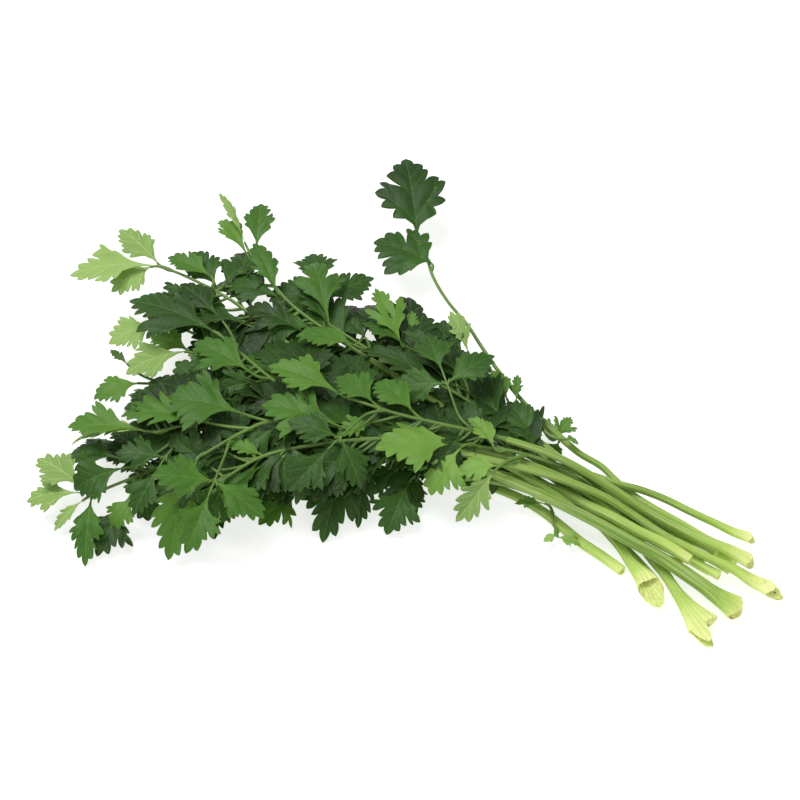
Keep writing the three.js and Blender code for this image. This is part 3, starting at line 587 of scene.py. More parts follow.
STALK_SIDES = 56
STALK_RING_SPACING = 1.6
STALK_RIBS = 9
FEET = {                    # groove at the cut (share of its height), then in millimetres: how far
                            # its middle and its lobe run on, its upper side is cut back, its hollow
    "slim": (0.30, 2.0, 0.0, 2.0, 1.5),
    "thick": (0.25, 1.5, 0.0, 2.0, 1.5),
    "sheath": (0.30, 4.0, 0.0, 4.0, 2.5),
    "fan": (0.15, 3.0, 0.0, 1.0, 1.0),
    "wide": (0.25, 0.5, 8.5, 1.5, 1.2),
    "open": (0.25, 3.0, 0.0, 11.0, 9.0),
    "cut": (0.15, 0.3, 0.0, 0.6, 0.8),
    "young": (0.15, 0.0, 0.0, 0.0, 0.4),
}
FOOT_RUN = 9.0              # the length over which the foot's middle and lobe run on
CUT_RUN = 28.0              # the length over which its upper side is cut back
LOBE_AT = 0.42              # share of the half width where the lobe is
LOBE_WIDTH = 0.42
FOOT_AGE = {                # how green the cut is, and how many millimetres it takes to turn green
    "slim": (0.0, 24.0), "thick": (0.04, 24.0), "sheath": (0.0, 42.0), "fan": (0.10, 11.0),
    "wide": (0.06, 34.0), "open": (0.08, 36.0), "cut": (0.14, 38.0), "young": (0.6, 10.0),
}
GREENEST = 0.8              # the age far up the stalk
FAN_RIBS = {"fan": 7, "wide": 6, "open": 5, "sheath": 4}
FAN_RIB_HEIGHT = 0.34
JOINTS = {"left_high": 91.0}    # where a stalk is swollen, from its cut
JOINT_SWELL = 0.28
JOINT_HALF_RUN = 2.2
RIB_HEIGHT = 0.035          # of the radius, as the groove's depth is
GROOVE_DEPTH = 0.14


STALK_AGES = (              # from the pale foot to the green top
    (0.0, srgb(246, 246, 178)), (0.10, srgb(228, 236, 148)), (0.26, srgb(186, 212, 104)),
    (0.46, srgb(150, 184, 76)), (0.64, srgb(122, 158, 60)), (0.85, srgb(98, 136, 46)),
)
FLESH_SHADES = (            # of the cut end
    (0.3, srgb(196, 206, 112)), (0.55, srgb(218, 228, 140)), (0.75, srgb(234, 238, 168)),
)
PALE_FIBRE = srgb(214, 226, 150)
DARK_BLOTCH = srgb(120, 148, 66)
FOOT_RIB = srgb(138, 176, 66)
DRIED_EDGE = srgb(176, 140, 70)
BROWN_SPOT = srgb(128, 78, 40)
RIB_LINES = 22.0            # how close the green lines lie on a foot
FIBRES_AROUND = 26.0
BLOTCH_GRAIN = 60.0         # noise scales, in steps to the metre
EDGE_GRAIN = 130.0
GLOSS_GRAIN = 150.0
DARK_GRAIN = 220.0
SPOT_GRAIN = 260.0
FINEST_GRAIN = 900.0
AGE_SPREAD = 0.24           # of the age from blotch to blotch
CUT_FACE = (-0.6, -0.1)     # millimetres along; the cut's caps lie below 0
RIM_BAND = ((-1.3, -0.5), (0.1, 0.9))
SPOT_BAND = (-1.3, 3.5)
RIB_LINE_END = (6.0, 24.0)


def stalk_material():
    material, shader, start = shader_sheet("stalk_skin")
    place = start.node("ShaderNodeUVMap", {"uv_map": "place"}, {})
    along = start.node("ShaderNodeSeparateXYZ", {}, {0: place}, 0)
    around = Shade(start.tree, along.socket.node.outputs[1])
    age = start.node("ShaderNodeAttribute", {"attribute_name": "tone"}, {}, 2)
    body = start.node("ShaderNodeTexCoord", {}, {}, 3)
    blotch = start.noise(body, BLOTCH_GRAIN)
    reach = age + blotch * AGE_SPREAD - AGE_SPREAD / 2
    skin = reach.colours(*STALK_AGES)
    strand = start.node("ShaderNodeCombineXYZ", {},
                        {0: along * 0.02, 1: around * FIBRES_AROUND, 2: age * 3.0})
    fibres = start.noise(strand, 1.0, 3.0)
    fibre_line = fibres.ramp(0.42, 0.62)
    skin = (fibre_line * 0.35).blend(skin, PALE_FIBRE)
    dark = start.noise(body, DARK_GRAIN).ramp(0.62, 0.75) * 0.25
    skin = dark.blend(skin, DARK_BLOTCH)
    side = (around * (2 * math.pi)).maths("SINE")
    rib_line = (side * RIB_LINES).maths("SINE").ramp(0.4, 0.9) * along.ramp(*RIB_LINE_END, 1.0, 0.0)
    skin = (rib_line * 0.7).blend(skin, FOOT_RIB)
    cut = along.ramp(*CUT_FACE, 1.0, 0.0)
    flesh = start.noise(body, FINEST_GRAIN, 3.0).colours(*FLESH_SHADES)
    skin = cut.blend(skin, flesh)
    edge = along.ramp(*RIM_BAND[0], 0.0, 1.0) * along.ramp(*RIM_BAND[1], 1.0, 0.0)
    dried = edge * start.noise(body, EDGE_GRAIN).ramp(0.50, 0.66)
    skin = (dried * 0.75).blend(skin, DRIED_EDGE)
    spot = along.ramp(*SPOT_BAND, 1.0, 0.0) * start.noise(body, SPOT_GRAIN).ramp(0.66, 0.72)
    skin = (spot * 0.8).blend(skin, BROWN_SPOT)
    height = fibres * 0.7 + blotch * 0.3
    finish_shader(start, shader, {
        "Base Color": skin,
        "Roughness": 0.34 + start.noise(body, GLOSS_GRAIN) * 0.2,
        "Subsurface Weight": 0.12,
        "Subsurface Radius": (0.003, 0.004, 0.001),
        "Subsurface Scale": 0.4,
        "Specular IOR Level": 0.25,
    }, height, 0.35, 0.0003)
    return material


stalk_skin = stalk_material()


def stalk_profile(wide, high, along, stem):
    """A ribbed stalk's rings: each point across, up, and ahead (a foot runs on, or back)."""
    end = stem["end"]
    groove_depth, middle_run, lobe_run, cut_back, _ = FEET[end]
    turn = np.arange(STALK_SIDES) / STALK_SIDES * 2 * np.pi - np.pi / 2
    ribs = 1 + RIB_HEIGHT * np.cos(STALK_RIBS * turn)[None, :]
    upward = np.abs(np.angle(np.exp(1j * (turn - np.pi / 2))))
    foot = np.clip(1 - along / ENDS[end][2], 0, 1)[:, None]
    groove = (GROOVE_DEPTH + groove_depth * foot) * np.exp(-((upward / (0.45 + 0.55 * foot)) ** 2))
    from_joint = along - JOINTS.get(stem["name"], -99)
    swelling = 1 + JOINT_SWELL * np.exp(-((from_joint / JOINT_HALF_RUN) ** 2))
    size = ribs * (1 - groove) * swelling[:, None]
    side = np.cos(turn)[None, :]
    across = side * wide[:, None] * (ribs * swelling[:, None])
    strands = np.cos(np.pi * FAN_RIBS.get(end, 0) * side) * FAN_RIB_HEIGHT * foot
    up = np.sin(turn)[None, :] * (high[:, None] * size + strands * (end in FAN_RIBS))
    tail = np.clip(1 - along / FOOT_RUN, 0, 1)[:, None] ** 2
    ahead = -tail * (middle_run * (1 - side**2)
                     + lobe_run * np.exp(-(((side - LOBE_AT) / LOBE_WIDTH) ** 4)))
    above = (0.5 + 0.5 * np.sin(turn))[None, :]
    ahead = ahead + cut_back * above * np.clip(1 - along / CUT_RUN, 0, 1)[:, None] ** 2
    return np.stack([across, up, ahead], axis=2)


def make_stalk(line, number):
    """One stem's bare part as one piece, in place of its solid."""
    last = line["fork"]
    stations = line["now"][:last + 1]
    points, shares, marks = resampled(stations, STALK_RING_SPACING)
    at = shares * last
    wide = np.interp(at, np.arange(last + 1), line["wide"][:last + 1])
    high = np.interp(at, np.arange(last + 1), line["high"][:last + 1])
    build = Build()
    profile = stalk_profile(wide, high, marks, line["stem"])
    pale, turning = FOOT_AGE[line["stem"]["end"]]
    tone = pale + (GREENEST - pale) * (1 - np.exp(-marks / turning))
    hollow = FEET[line["stem"]["end"]][4]
    tube(build, points, frames_along(points), profile, 0, tone, marks, hollow)
    build.piece(f"stalk_piece_{number:02d}", [stalk_skin], f"stalk_{number:02d}", "stalk")


for number, line in enumerate(lines, 1):
    if line["fork"]:
        make_stalk(line, number)

# ---- Leaves -------------------------------------------------------------
# The upper part of each stem with its leaflets: thin flat blades cut into
# lobes and blunt teeth, on short stalklets. Each lobe and tooth has a vein
# that sinks in the upper face and stands out below. All grown as one.

# Each leaflet in millimetres: its foot, its tip, its width, its roll in
# degrees, its form, its fold in radians, its tone from old and dark (0) to
# young and pale (1), and the face that it shows.
LEAFLETS = {
    "front_top": [
        (41, -28, 20, 11, -48, 25, 30, 0, "broad", 0.2, 0.66, "top"),
        (41, -29, 19, 37, -51, 12, 26, -8, "broad", 0.25, 0.7, "top"),
        (58, -29, 16, 43, -39, 15, 15, 10, "side", 0.3, 0.7, "top"),
        (56, -32, 13, 50, -54, 5, 17, -25, "slender", 0.5, 0.5, "under"),
        (54, -24, 20, 39, -17, 25, 14, 20, "side", 0.6, 0.68, "top"),
    ],
    "centre_top": [
        (-10, -34, 34, -45, -34, 36, 23, 5, "broad", 0.35, 0.5, "top"),
        (2, -31, 33, -17, -27, 35, 22, 0, "side", 0.2, 0.4, "top"),
        (18, -27, 31, -2, -21, 34, 20, -5, "side", 0.3, 0.45, "top"),
        (-5, -47, 31, -39, -52, 34, 30, 0, "broad", 0.15, 0.38, "top"),
        (5, -38, 29, -6, -50, 28, 12, 0, "slender", 0.3, 0.5, "top"),
    ],
    "front_long": [
        (-29, -74, 27, -34, -98, 13, 24, -5, "broad", 0.3, 0.4, "top"),
        (-42, -89, 22, -50, -106, 12, 9, -20, "slender", 0.5, 0.4, "top"),
        (-28, -72, 28, -46, -73, 29, 9, 0, "slender", 0.3, 0.45, "top"),
        (-40, -86, 21, -42, -103, 7, 14, -15, "side", 0.3, 0.5, "under"),
        (1, -51, 26, -10, -64, 17, 21, -10, "side", 0.25, 0.2, "top"),
    ],
    "left_high": [
        (-44, -59, 33, -76, -66, 34, 34, 0, "broad", 0.15, 0.3, "top"),
        (-51, -86, 29, -48, -120, 4, 24, -5, "broad", 0.35, 0.5, "top"),
        (-57, -68, 31, -94, -76, 27, 17, 0, "slender", 0.3, 0.4, "top"),
        (-22, -49, 27, -33, -63, 24, 20, -5, "side", 0.2, 0.15, "top"),
    ],
    "left_back": [
        (-77, -24, 33, -120, -22, 31, 36, 0, "deep", 0.12, 0.17, "top"),
        (-52, -36, 30, -81, -33, 33, 25, 0, "broad", 0.2, 0.4, "top"),
        (-70, -28, 31, -76, -46, 29, 16, -10, "side", 0.25, 0.35, "top"),
        (-33, -37, 27, -62, -24, 25, 21, 10, "side", 0.3, 0.3, "top"),
        # a leaflet of the heap; its near-darkest tone is painted shade of the hollow where it lies
        (-80, -12, 27, -107, 0, 26, 20, 0, "broad", 0.05, 0.05, "top"),
    ],
    "front_low": [
        (-3, -47, 14, 4, -84, 2, 25, -5, "broad", 0.2, 0.15, "top"),
        (-19, -58, 13, -19, -73, 5, 18, 0, "side", 0.2, 0.1, "top"),
        (4, -43, 12, 14, -71, 2, 15, 0, "side", 0.25, 0.15, "top"),
    ],
    "front_right": [
        (25, -45, 8, 26, -69, 2, 23, -5, "broad", 0.2, 0.2, "top"),
        (24, -41, 8, 33, -55, 2, 12, 0, "slender", 0.3, 0.2, "top"),
        (20, -39, 9, 4, -56, 5, 21, 0, "broad", 0.2, 0.1, "top"),
    ],
    "lone": [
        (-30, 83, 16, -53, 120, 24, 32, 0, "rounded", 0.12, 0.1, "top"),
        (-16, 68, 15, -46, 70, 14, 31, 0, "rounded", 0.12, 0.13, "top"),
        (71, 0, 12, 62, 6, 12, 10, 0, "deep", 0.4, 0.5, "top"),
        (74, 0, 12, 76, 10, 16, 13, 0, "deep", 0.2, 0.5, "top"),
        (76, 0, 12, 82, 1, 12, 8, 0, "side", 0.3, 0.45, "top"),
        (75, -1, 10, 74, -10, 8, 10, 0, "side", 0.4, 0.3, "top"),
    ],
    "back_right": [
        (20, -2, 21, -19, 0, 26, 15, 0, "slender", 0.5, 0.12, "top"),
        (26, 7, 20, -6, 16, 26, 14, 10, "slender", 0.5, 0.2, "top"),
        (21, 25, 16, 7, 37, 24, 12, 0, "slender", 0.6, 0.7, "under"),
        (20, 22, 15, 1, 34, 16, 18, 0, "side", 0.3, 0.1, "top"),
        (36, 12, 14, 12, 21, 17, 17, 0, "side", 0.3, 0.25, "top"),
    ],
    "back_mid": [
        (-6, 14, 20, -28, 34, 26, 20, 0, "deep", 0.25, 0.55, "top"),
        (-6, 21, 18, -9, 32, 22, 9, 0, "side", 0.3, 0.5, "top"),
        (-5, 16, 17, -27, 19, 19, 15, 0, "broad", 0.25, 0.3, "top"),
        (3, 19, 16, 0, 32, 19, 8, 0, "side", 0.4, 0.4, "top"),
        (-12, 17, 16, -31, 29, 16, 9, 0, "side", 0.3, 0.15, "top"),
    ],
    "back": [
        (-38, 8, 24, -61, 38, 28, 24, 0, "broad", 0.2, 0.3, "top"),
        (-39, 9, 22, -61, 25, 24, 14, 0, "slender", 0.3, 0.1, "top"),
        (-23, 1, 24, -47, -6, 26, 21, 15, "side", 0.3, 0.4, "top"),
        (-22, 11, 19, -34, 17, 20, 12, 0, "side", 0.3, 0.1, "top"),
    ],
    "top_left": [
        (-87, 27, 26, -112, 43, 28, 13, 0, "broad", 0.4, 0.6, "top"),
        (-93, 34, 27, -117, 54, 32, 6, 0, "slender", 0.9, 0.6, "under"),
        (-87, 34, 27, -97, 58, 30, 15, 0, "side", 0.2, 0.35, "top"),
        (-66, 13, 27, -88, 33, 31, 14, 0, "slender", 0.35, 0.4, "top"),
        (-62, 12, 25, -90, 10, 24, 20, 0, "broad", 0.25, 0.2, "top"),
    ],
    "left_far": [
        (-123, 7, 26, -147, 15, 30, 17, 0, "side", 0.15, 0.7, "under"),
        (-122, 4, 27, -155, -16, 26, 22, 0, "broad", 0.12, 0.9, "under"),
        (-125, 4, 25, -135, -14, 22, 20, 0, "side", 0.15, 0.8, "under"),
        (-97, 9, 27, -120, 11, 27, 15, 0, "side", 0.3, 0.45, "top"),
        (-46, -1, 24, -76, 2, 24, 20, 0, "broad", 0.2, 0.1, "top"),
    ],
    "left": [
        (-109, -22, 19, -123, -38, 18, 20, 0, "side", 0.2, 0.8, "under"),
        (-87, -33, 24, -106, -52, 21, 25, 0, "broad", 0.4, 0.7, "under"),
        (-100, -52, 17, -114, -66, 15, 17, 0, "side", 0.2, 0.45, "top"),
        (-109, -45, 18, -120, -41, 18, 5, 0, "slender", 0.3, 0.2, "top"),
        (-87, -30, 22, -107, -29, 20, 15, 0, "side", 0.3, 0.6, "top"),
    ],
    "left_front": [
        (-93, -108, 13, -117, -105, 18, 20, 0, "broad", 0.15, 0.68, "under"),
        (-94, -110, 12, -114, -121, 9, 17, 0, "broad", 0.15, 0.68, "under"),
        (-92, -112, 10, -98, -126, 3, 7, 0, "slender", 0.4, 0.7, "under"),
        (-83, -93, 15, -98, -109, 12, 25, 0, "broad", 0.2, 0.25, "top"),
        (-89, -110, 10, -78, -135, 1.5, 14, 0, "side", 0.3, 0.4, "top"),
        (-76, -104, 8, -76, -129, 2, 23, 0, "broad", 0.2, 0.1, "top"),
        (-73, -104, 13, -75, -118, 7, 15, 0, "side", 0.2, 0.5, "top"),
        (-69, -84, 12, -80, -99, 7, 24, 0, "broad", 0.1, 0.2, "top"),
        (-76, -92, 11, -65, -106, 4, 22, 0, "broad", 0.05, 0.1, "top"),
        (-55, -66, 8, -71, -85, 5, 22, 0, "broad", 0.1, 0.1, "top"),
        (-67, -78, 8, -62, -97, 3, 18, 0, "side", 0.2, 0.15, "top"),
    ],
    "front_left": [
        (-14, -67, 6, -24, -87, 2, 22, 0, "broad", 0.2, 0.52, "top"),
        (-50, -84, 6, -51, -106, 2, 17, 0, "side", 0.25, 0.42, "top"),
        (-35, -71, 6, -35, -86, 2, 16, 0, "side", 0.2, 0.36, "top"),
    ],
    "left_mid": [
        (-81, -79, 25, -112, -88, 21, 20, 0, "broad", 0.3, 0.5, "top"),
        (-76, -79, 26, -109, -94, 20, 13, 0, "slender", 0.7, 0.8, "under"),
        (-85, -91, 18, -110, -96, 13, 20, 0, "broad", 0.2, 0.2, "top"),
        (-62, -65, 20, -82, -83, 15, 23, 0, "broad", 0.2, 0.12, "top"),
        (-53, -61, 18, -60, -83, 11, 21, 0, "deep", 0.25, 0.2, "top"),
    ],
    "right_back": [
        (46, 8, 13, 35, 17, 17, 13, 0, "side", 0.2, 0.5, "top"),
        (50, 9, 13, 46, 20, 17, 6, 0, "slender", 0.3, 0.45, "top"),
        (63, -5, 10, 45, 10, 10, 17, 0, "side", 0.3, 0.15, "top"),
    ],
    "young_low": [
        (80, -30, 4, 68, -34, 3, 7, 0, "deep", 0.4, 0.5, "top"),
        (90, -41, 2, 86, -46, 1.5, 5, 0, "side", 0.3, 0.85, "top"),
        (91, -42, 2, 101, -42, 3, 9, 0, "deep", 0.4, 0.8, "top"),
    ],
}

BLADE_HALF_THICKNESS = 0.13
RIB_ARCH = 0.16             # of the leaflet's length, as the solids' leaflets have it
STALKLET_BEND = 0.45        # of the stalklet's reach
FORM_POINTS = {     # share along the rib, share out, and what is there
    "broad": [
        (0.00, 0.02, "foot"), (0.15, 0.06, "foot"), (0.28, 0.20, "foot"), (0.37, 0.42, "foot"),
        (0.45, 0.78, "tooth"), (0.49, 0.62, ""), (0.63, 1.00, "lobe"), (0.615, 0.76, ""),
        (0.705, 0.78, "tooth"), (0.655, 0.54, ""), (0.50, 0.20, "cleft"), (0.765, 0.56, "lobe"),
        (0.76, 0.36, ""), (0.90, 0.40, "lobe"), (0.88, 0.19, ""), (1.00, 0.00, "end"),
    ],
    "deep": [
        (0.00, 0.02, "foot"), (0.10, 0.05, "foot"), (0.20, 0.13, "foot"), (0.30, 0.34, "foot"),
        (0.39, 0.70, "tooth"), (0.43, 0.55, ""), (0.545, 0.93, "lobe"), (0.54, 0.71, ""),
        (0.68, 0.90, "tooth"), (0.625, 0.60, ""), (0.39, 0.13, "cleft"),
        (0.67, 0.42, "lobe"), (0.68, 0.26, ""), (0.82, 0.44, "lobe"), (0.80, 0.24, ""),
        (0.91, 0.24, "lobe"), (0.89, 0.11, ""), (1.00, 0.00, "end"),
    ],
    "side": [
        (0.00, 0.03, "foot"), (0.11, 0.10, "foot"), (0.21, 0.29, "foot"), (0.29, 0.52, "foot"),
        (0.38, 0.84, "tooth"), (0.42, 0.68, ""), (0.565, 1.00, "lobe"), (0.56, 0.76, ""),
        (0.66, 0.82, "tooth"), (0.61, 0.58, ""), (0.53, 0.34, "cleft"), (0.76, 0.66, "lobe"),
        (0.755, 0.43, ""), (0.89, 0.44, "lobe"), (0.87, 0.20, ""), (1.00, 0.00, "end"),
    ],
    "slender": [
        (0.00, 0.04, "foot"), (0.12, 0.12, "foot"), (0.24, 0.32, "foot"),
        (0.36, 0.72, "tooth"), (0.40, 0.52, ""), (0.54, 1.00, "lobe"), (0.53, 0.68, ""),
        (0.47, 0.36, "cleft"), (0.71, 0.80, "lobe"), (0.70, 0.44, ""), (0.86, 0.52, "lobe"),
        (0.84, 0.22, ""), (1.00, 0.00, "end"),
    ],
    "rounded": [
        (0.00, 0.03, "foot"), (0.07, 0.10, "foot"), (0.14, 0.32, "foot"), (0.19, 0.64, "tooth"),
        (0.24, 0.55, ""), (0.31, 0.90, "tooth"), (0.37, 0.74, ""), (0.54, 1.00, "lobe"),
        (0.545, 0.78, ""), (0.64, 0.84, "tooth"), (0.60, 0.58, ""), (0.47, 0.26, "cleft"),
        (0.75, 0.62, "lobe"), (0.755, 0.42, ""), (0.89, 0.42, "lobe"), (0.87, 0.20, ""),
        (1.00, 0.00, "end"),
    ],
}
CAD_LOBES = {       # lobe tips of the solids' outlines, rib share and out share
    "broad": [(0.42, 0.76), (0.6, 1.0), (0.78, 0.57)],
    "deep": [(0.37, 0.68), (0.63, 1.0), (0.78, 0.5)],
    "side": [(0.43, 0.92), (0.54, 1.0), (0.86, 0.46)],
    "slender": [(0.5, 1.0), (0.84, 0.46)],
    "rounded": [(0.3, 0.88), (0.54, 1.0), (0.78, 0.58)],
    "trefoil": [(0.29, 0.8), (0.5, 1.0), (0.68, 0.5)],
}
SLIDE_WAY = np.array([0.27, -0.58, 0.77])   # leaflets slid this way, to lie clear of others
SLIDES = [0, -2, 2, -4, 4, -6.5, 6.5, -9, 9, -12, 12, -16, 16, 20]
TIP_SLIDES = [0, -4, 4, -8, 8]
TURNS = [0, 18, -18, 36, -36]               # and were turned about their ribs, in degrees
HOPS = [0, 6, -5]                           # their stalklets bowed over or under others
CAD_LIFT = 0.32             # the solids' points lie at least this high
CAD_HALF_BLADE = 0.3
CAD_STALKLET = 0.55
FOUND = 0.05                # a point of the solid this near is the one looked for
DRAW_FACTOR = 48271
DRAW_RANGE = 2147483647
SOLIDS_SEED = 20117


def repeatable_draws(seed):
    """The draws from 0 to 1 that made the solids, one after another."""
    state = seed
    while True:
        state = (state * DRAW_FACTOR) % DRAW_RANGE
        yield state / DRAW_RANGE


def first_leafy(line):
    return line["fork"] + 1


def nearest_station(stations, first, point):
    return first + int(np.argmin(np.sum((stations[first:] - point) ** 2, axis=1)))


def root_for(line, base):
    """Where a stalklet leaves the stem: a little way back from its blade."""
    first = first_leafy(line)
    best = nearest_station(line["now"], first, base)
    gap = np.linalg.norm(line["now"][best] - base)
    back = nearest_whole((gap * 0.7 + 3) / STATION_STEP)
    return line["now"][max(first, best - back)]


def table_rows(line, draw):
    """The stem's own leaflets, carried along by its settling."""
    rows = []
    for cells in LEAFLETS[line["stem"]["name"]]:
        base, tip = np.array(cells[0:3], float), np.array(cells[3:6], float)
        width, roll, form, fold, tone, face = cells[6:]
        best = nearest_station(line["wish"], first_leafy(line), base)
        moved = line["now"][best] - line["wish"][best]
        rows.append({
            "base": base + moved, "tip": tip + 0.7 * moved, "width": width, "roll": roll,
            "form": form, "fold": fold, "tone": tone, "face": face,
            "curl": 0.1 + 0.35 * next(draw), "wave": 0.12 * next(draw), "phase": 6.28 * next(draw),
        })
    return rows


def spray_rows(line, draw):
    """Small leaves of three leaflets, set by rule along the leafy part."""
    rows = []
    now = line["now"]
    count = len(line["stem"]["sprays"])
    first, last = first_leafy(line) + 1, len(now) - 3
    for k in range(count):
        share = (k + 0.2 + 0.6 * next(draw)) / count
        i = nearest_whole(first + (last - first) * share)
        along = unit((now[i + 1] - now[i - 1]) * [1, 1, 0])
        splay = (1 if k % 2 else -1) * (0.6 + 0.6 * next(draw))
        way = np.array([along[0] * math.cos(splay) - along[1] * math.sin(splay),
                        along[0] * math.sin(splay) + along[1] * math.cos(splay), 0.0])
        length = 38 + 10 * next(draw)
        reach = 5 + 8 * next(draw)
        drop = 1 + 4 * next(draw)
        base = now[i] + way * reach
        base[2] = max(2, now[i][2] - drop)
        tip = base + way * length
        tip[2] = max(1.5, base[2] - 9 + 9 * next(draw))
        rows.append({
            "base": base, "tip": tip, "width": length * (0.92 + 0.16 * next(draw)),
            "roll": -20 + 40 * next(draw), "form": "trefoil", "fold": 0.1 + 0.2 * next(draw),
            "curl": 0.1 + 0.25 * next(draw), "wave": 0.12 * next(draw),
            "phase": 6.28 * next(draw), "tone": line["stem"]["sprays"][k], "face": "top",
        })
    return rows


def leaflet_frame(root, base, tip, roll, hop):
    """The skeleton of one leaflet: stalklet, rib and the way it spreads."""
    length = float(np.linalg.norm(tip - base))
    chord = (tip - base) / length
    level = unit(np.array([-chord[1], chord[0], 0.0]))
    angle = math.radians(roll)
    spread = level * math.cos(angle) + np.cross(chord, level) * math.sin(angle)
    face = unit(np.cross(chord, spread))
    arch = (base + tip) / 2 + face * length * RIB_ARCH
    reach = float(np.linalg.norm(root - base))
    bend = base - unit(arch - base) * reach * STALKLET_BEND + np.array([0, 0, hop])
    return {"rib": (base, arch, tip), "stalklet": (root, bend, base), "spread": spread,
            "length": length, "reach": reach, "face": face}


def bow(points, share):
    """Points of a quadratic curve at shares of its run, and the way along it."""
    a, b, c = points
    t = np.atleast_1d(share)[:, None]
    at = (1 - t) ** 2 * a + 2 * t * (1 - t) * b + t**2 * c
    return at, unit(2 * (1 - t) * (b - a) + 2 * t * (c - b))


def blade_points(frame, row, u, v):
    """Points of a leaflet's blade at shares along and out from its rib."""
    at, along = bow(frame["rib"], u)
    face = unit(np.cross(along, frame["spread"]))
    half = row["width"] / 2
    out = np.abs(v) * half
    side = np.sign(v)
    wave = row["wave"] * half * np.abs(v) * np.sin(u * 7 + row["phase"] + side * 1.3)
    rise = out * math.sin(row["fold"]) - row["curl"] * out**2 / half + wave
    return (at + frame["spread"] * (side * out * math.cos(row["fold"]))[:, None]
            + face * rise[:, None]), face


def solid_points(name):
    """The CAD node's points in the stems' own millimetres."""
    mesh = frame["nodes"][name].data
    points = np.empty(len(mesh.vertices) * 3)
    mesh.vertices.foreach_get("co", points)
    points = points.reshape(-1, 3) / TO_METRES - CENTRE_SHIFT
    tree = kdtree.KDTree(len(points))
    for i, p in enumerate(points):
        tree.insert(p, i)
    tree.balance()
    return tree


def miss(tree, middle, half):
    """How far a pair of the solid's points is from straddling this one."""
    found = tree.find_range(Vector(middle), half + FOUND)
    points = [np.array(p) for p, _, d in found if d > half - FOUND]
    best = 1.0
    for i, p in enumerate(points):
        for q in points[i + 1:]:
            best = min(best, float(np.linalg.norm((p + q) / 2 - middle)))
    return best


def find_posture(tree, line, row):
    """How the solid's leaflet leans: the slide and turn that its points show."""
    tips = sorted(
        (miss(tree, row["tip"] + SLIDE_WAY * (slide + extra), CAD_HALF_BLADE), slide, extra)
        for slide in SLIDES for extra in TIP_SLIDES
    )
    best = (1.0, None)
    for off, slide, extra in tips[:6]:
        if off > FOUND:
            break
        base = row["base"] + SLIDE_WAY * slide
        tip = row["tip"] + SLIDE_WAY * (slide + extra)
        root = root_for(line, base)
        for turn in TURNS:
            leant = leaflet_frame(root, base, tip, row["roll"] + turn, 0)
            lobes = np.array([(u, s * v) for u, v in CAD_LOBES[row["form"]] for s in (1, -1)])
            points, _ = blade_points(leant, row, lobes[:, 0], lobes[:, 1])
            points[:, 2] = np.maximum(points[:, 2], CAD_LIFT)
            misses = sorted(miss(tree, p, CAD_HALF_BLADE) for p in points)
            score = sum(misses[:4])
            if score < best[0]:
                best = (score, (root, base, tip, turn))
    if best[1] is None:
        return None
    root, base, tip, turn = best[1]
    hops = []
    for hop in HOPS:
        leant = leaflet_frame(root, base, tip, row["roll"] + turn, hop)
        middle, _ = bow(leant["stalklet"], 0.5)
        hops.append((min(miss(tree, middle[0] + leant["spread"] * s * 0.7, CAD_STALKLET)
                         for s in (1, -1)), abs(hop), hop))
    off, _, hop = min(hops)
    return leaflet_frame(root, base, tip, row["roll"] + turn, hop if off < FOUND else 0)


draw = repeatable_draws(SOLIDS_SEED)
for line in lines:
    line["rows"] = table_rows(line, draw)
for line in lines:
    line["rows"] += spray_rows(line, draw)

for number, line in enumerate(lines, 1):
    tree = solid_points(f"leaves_{number:02d}")
    for row in line["rows"]:
        row["frame"] = find_posture(tree, line, row)
    line["rows"] = [row for row in line["rows"] if row["frame"] is not None]

TOOTH_SLIP = 0.012          # of the leaflet's length
MERGE = 0.08                # points nearer than this become one
FINE_STEPS = (0.85, 1.4)    # between points, along edges and inside
PLAIN_STEPS = (1.2, 2.4)    # the same for leaflets that lie under others
TOOTH_BELLY = 0.22          # how far a margin bellies out, of its run
BELLIES = {"foot after foot": 0.0, "tooth after foot": 0.10, "cleft after ": 0.03,
           "lobe after cleft": 0.15}
BLUNT = 0.28                # how far back from its tip a tooth is rounded
VEIN_SINK = 0.20
VEIN_WIDTH = 0.5
PANEL_RISE = 0.75           # of the blade between its veins
PANEL_REACH = 2.5           # from the vein, where the rise is nearly whole
NO_VEIN = 5.0               # the distance given to stems, which have no vein
UPPER, UNDER, RIM, TWIG = range(4)      # the leaf pieces' material slots
scatter = np.random.default_rng(731)    # all the leaves' further draws


def bow_flat(start, bend, end, shares):
    """Points of a quadratic curve on the flat leaflet."""
    t = np.asarray(shares)[:, None]
    return (1 - t) ** 2 * start + 2 * t * (1 - t) * bend + t**2 * end


def side_marks(form):
    """One side's outline with every tooth a little off its usual place."""
    cleft_slip = scatter.uniform(-0.05, 0.06)
    marks = []
    for u, v, kind in FORM_POINTS[form]:
        if kind == "cleft":
            u, v = u + cleft_slip, v * scatter.uniform(0.75, 1.25)
        if 0 < u < 1:
            slip = scatter.normal(0, TOOTH_SLIP, 2)
            u, v = u + slip[0], max(0.02, v * (1 + slip[1] * 4))
        marks.append((u, v, kind))
    return marks


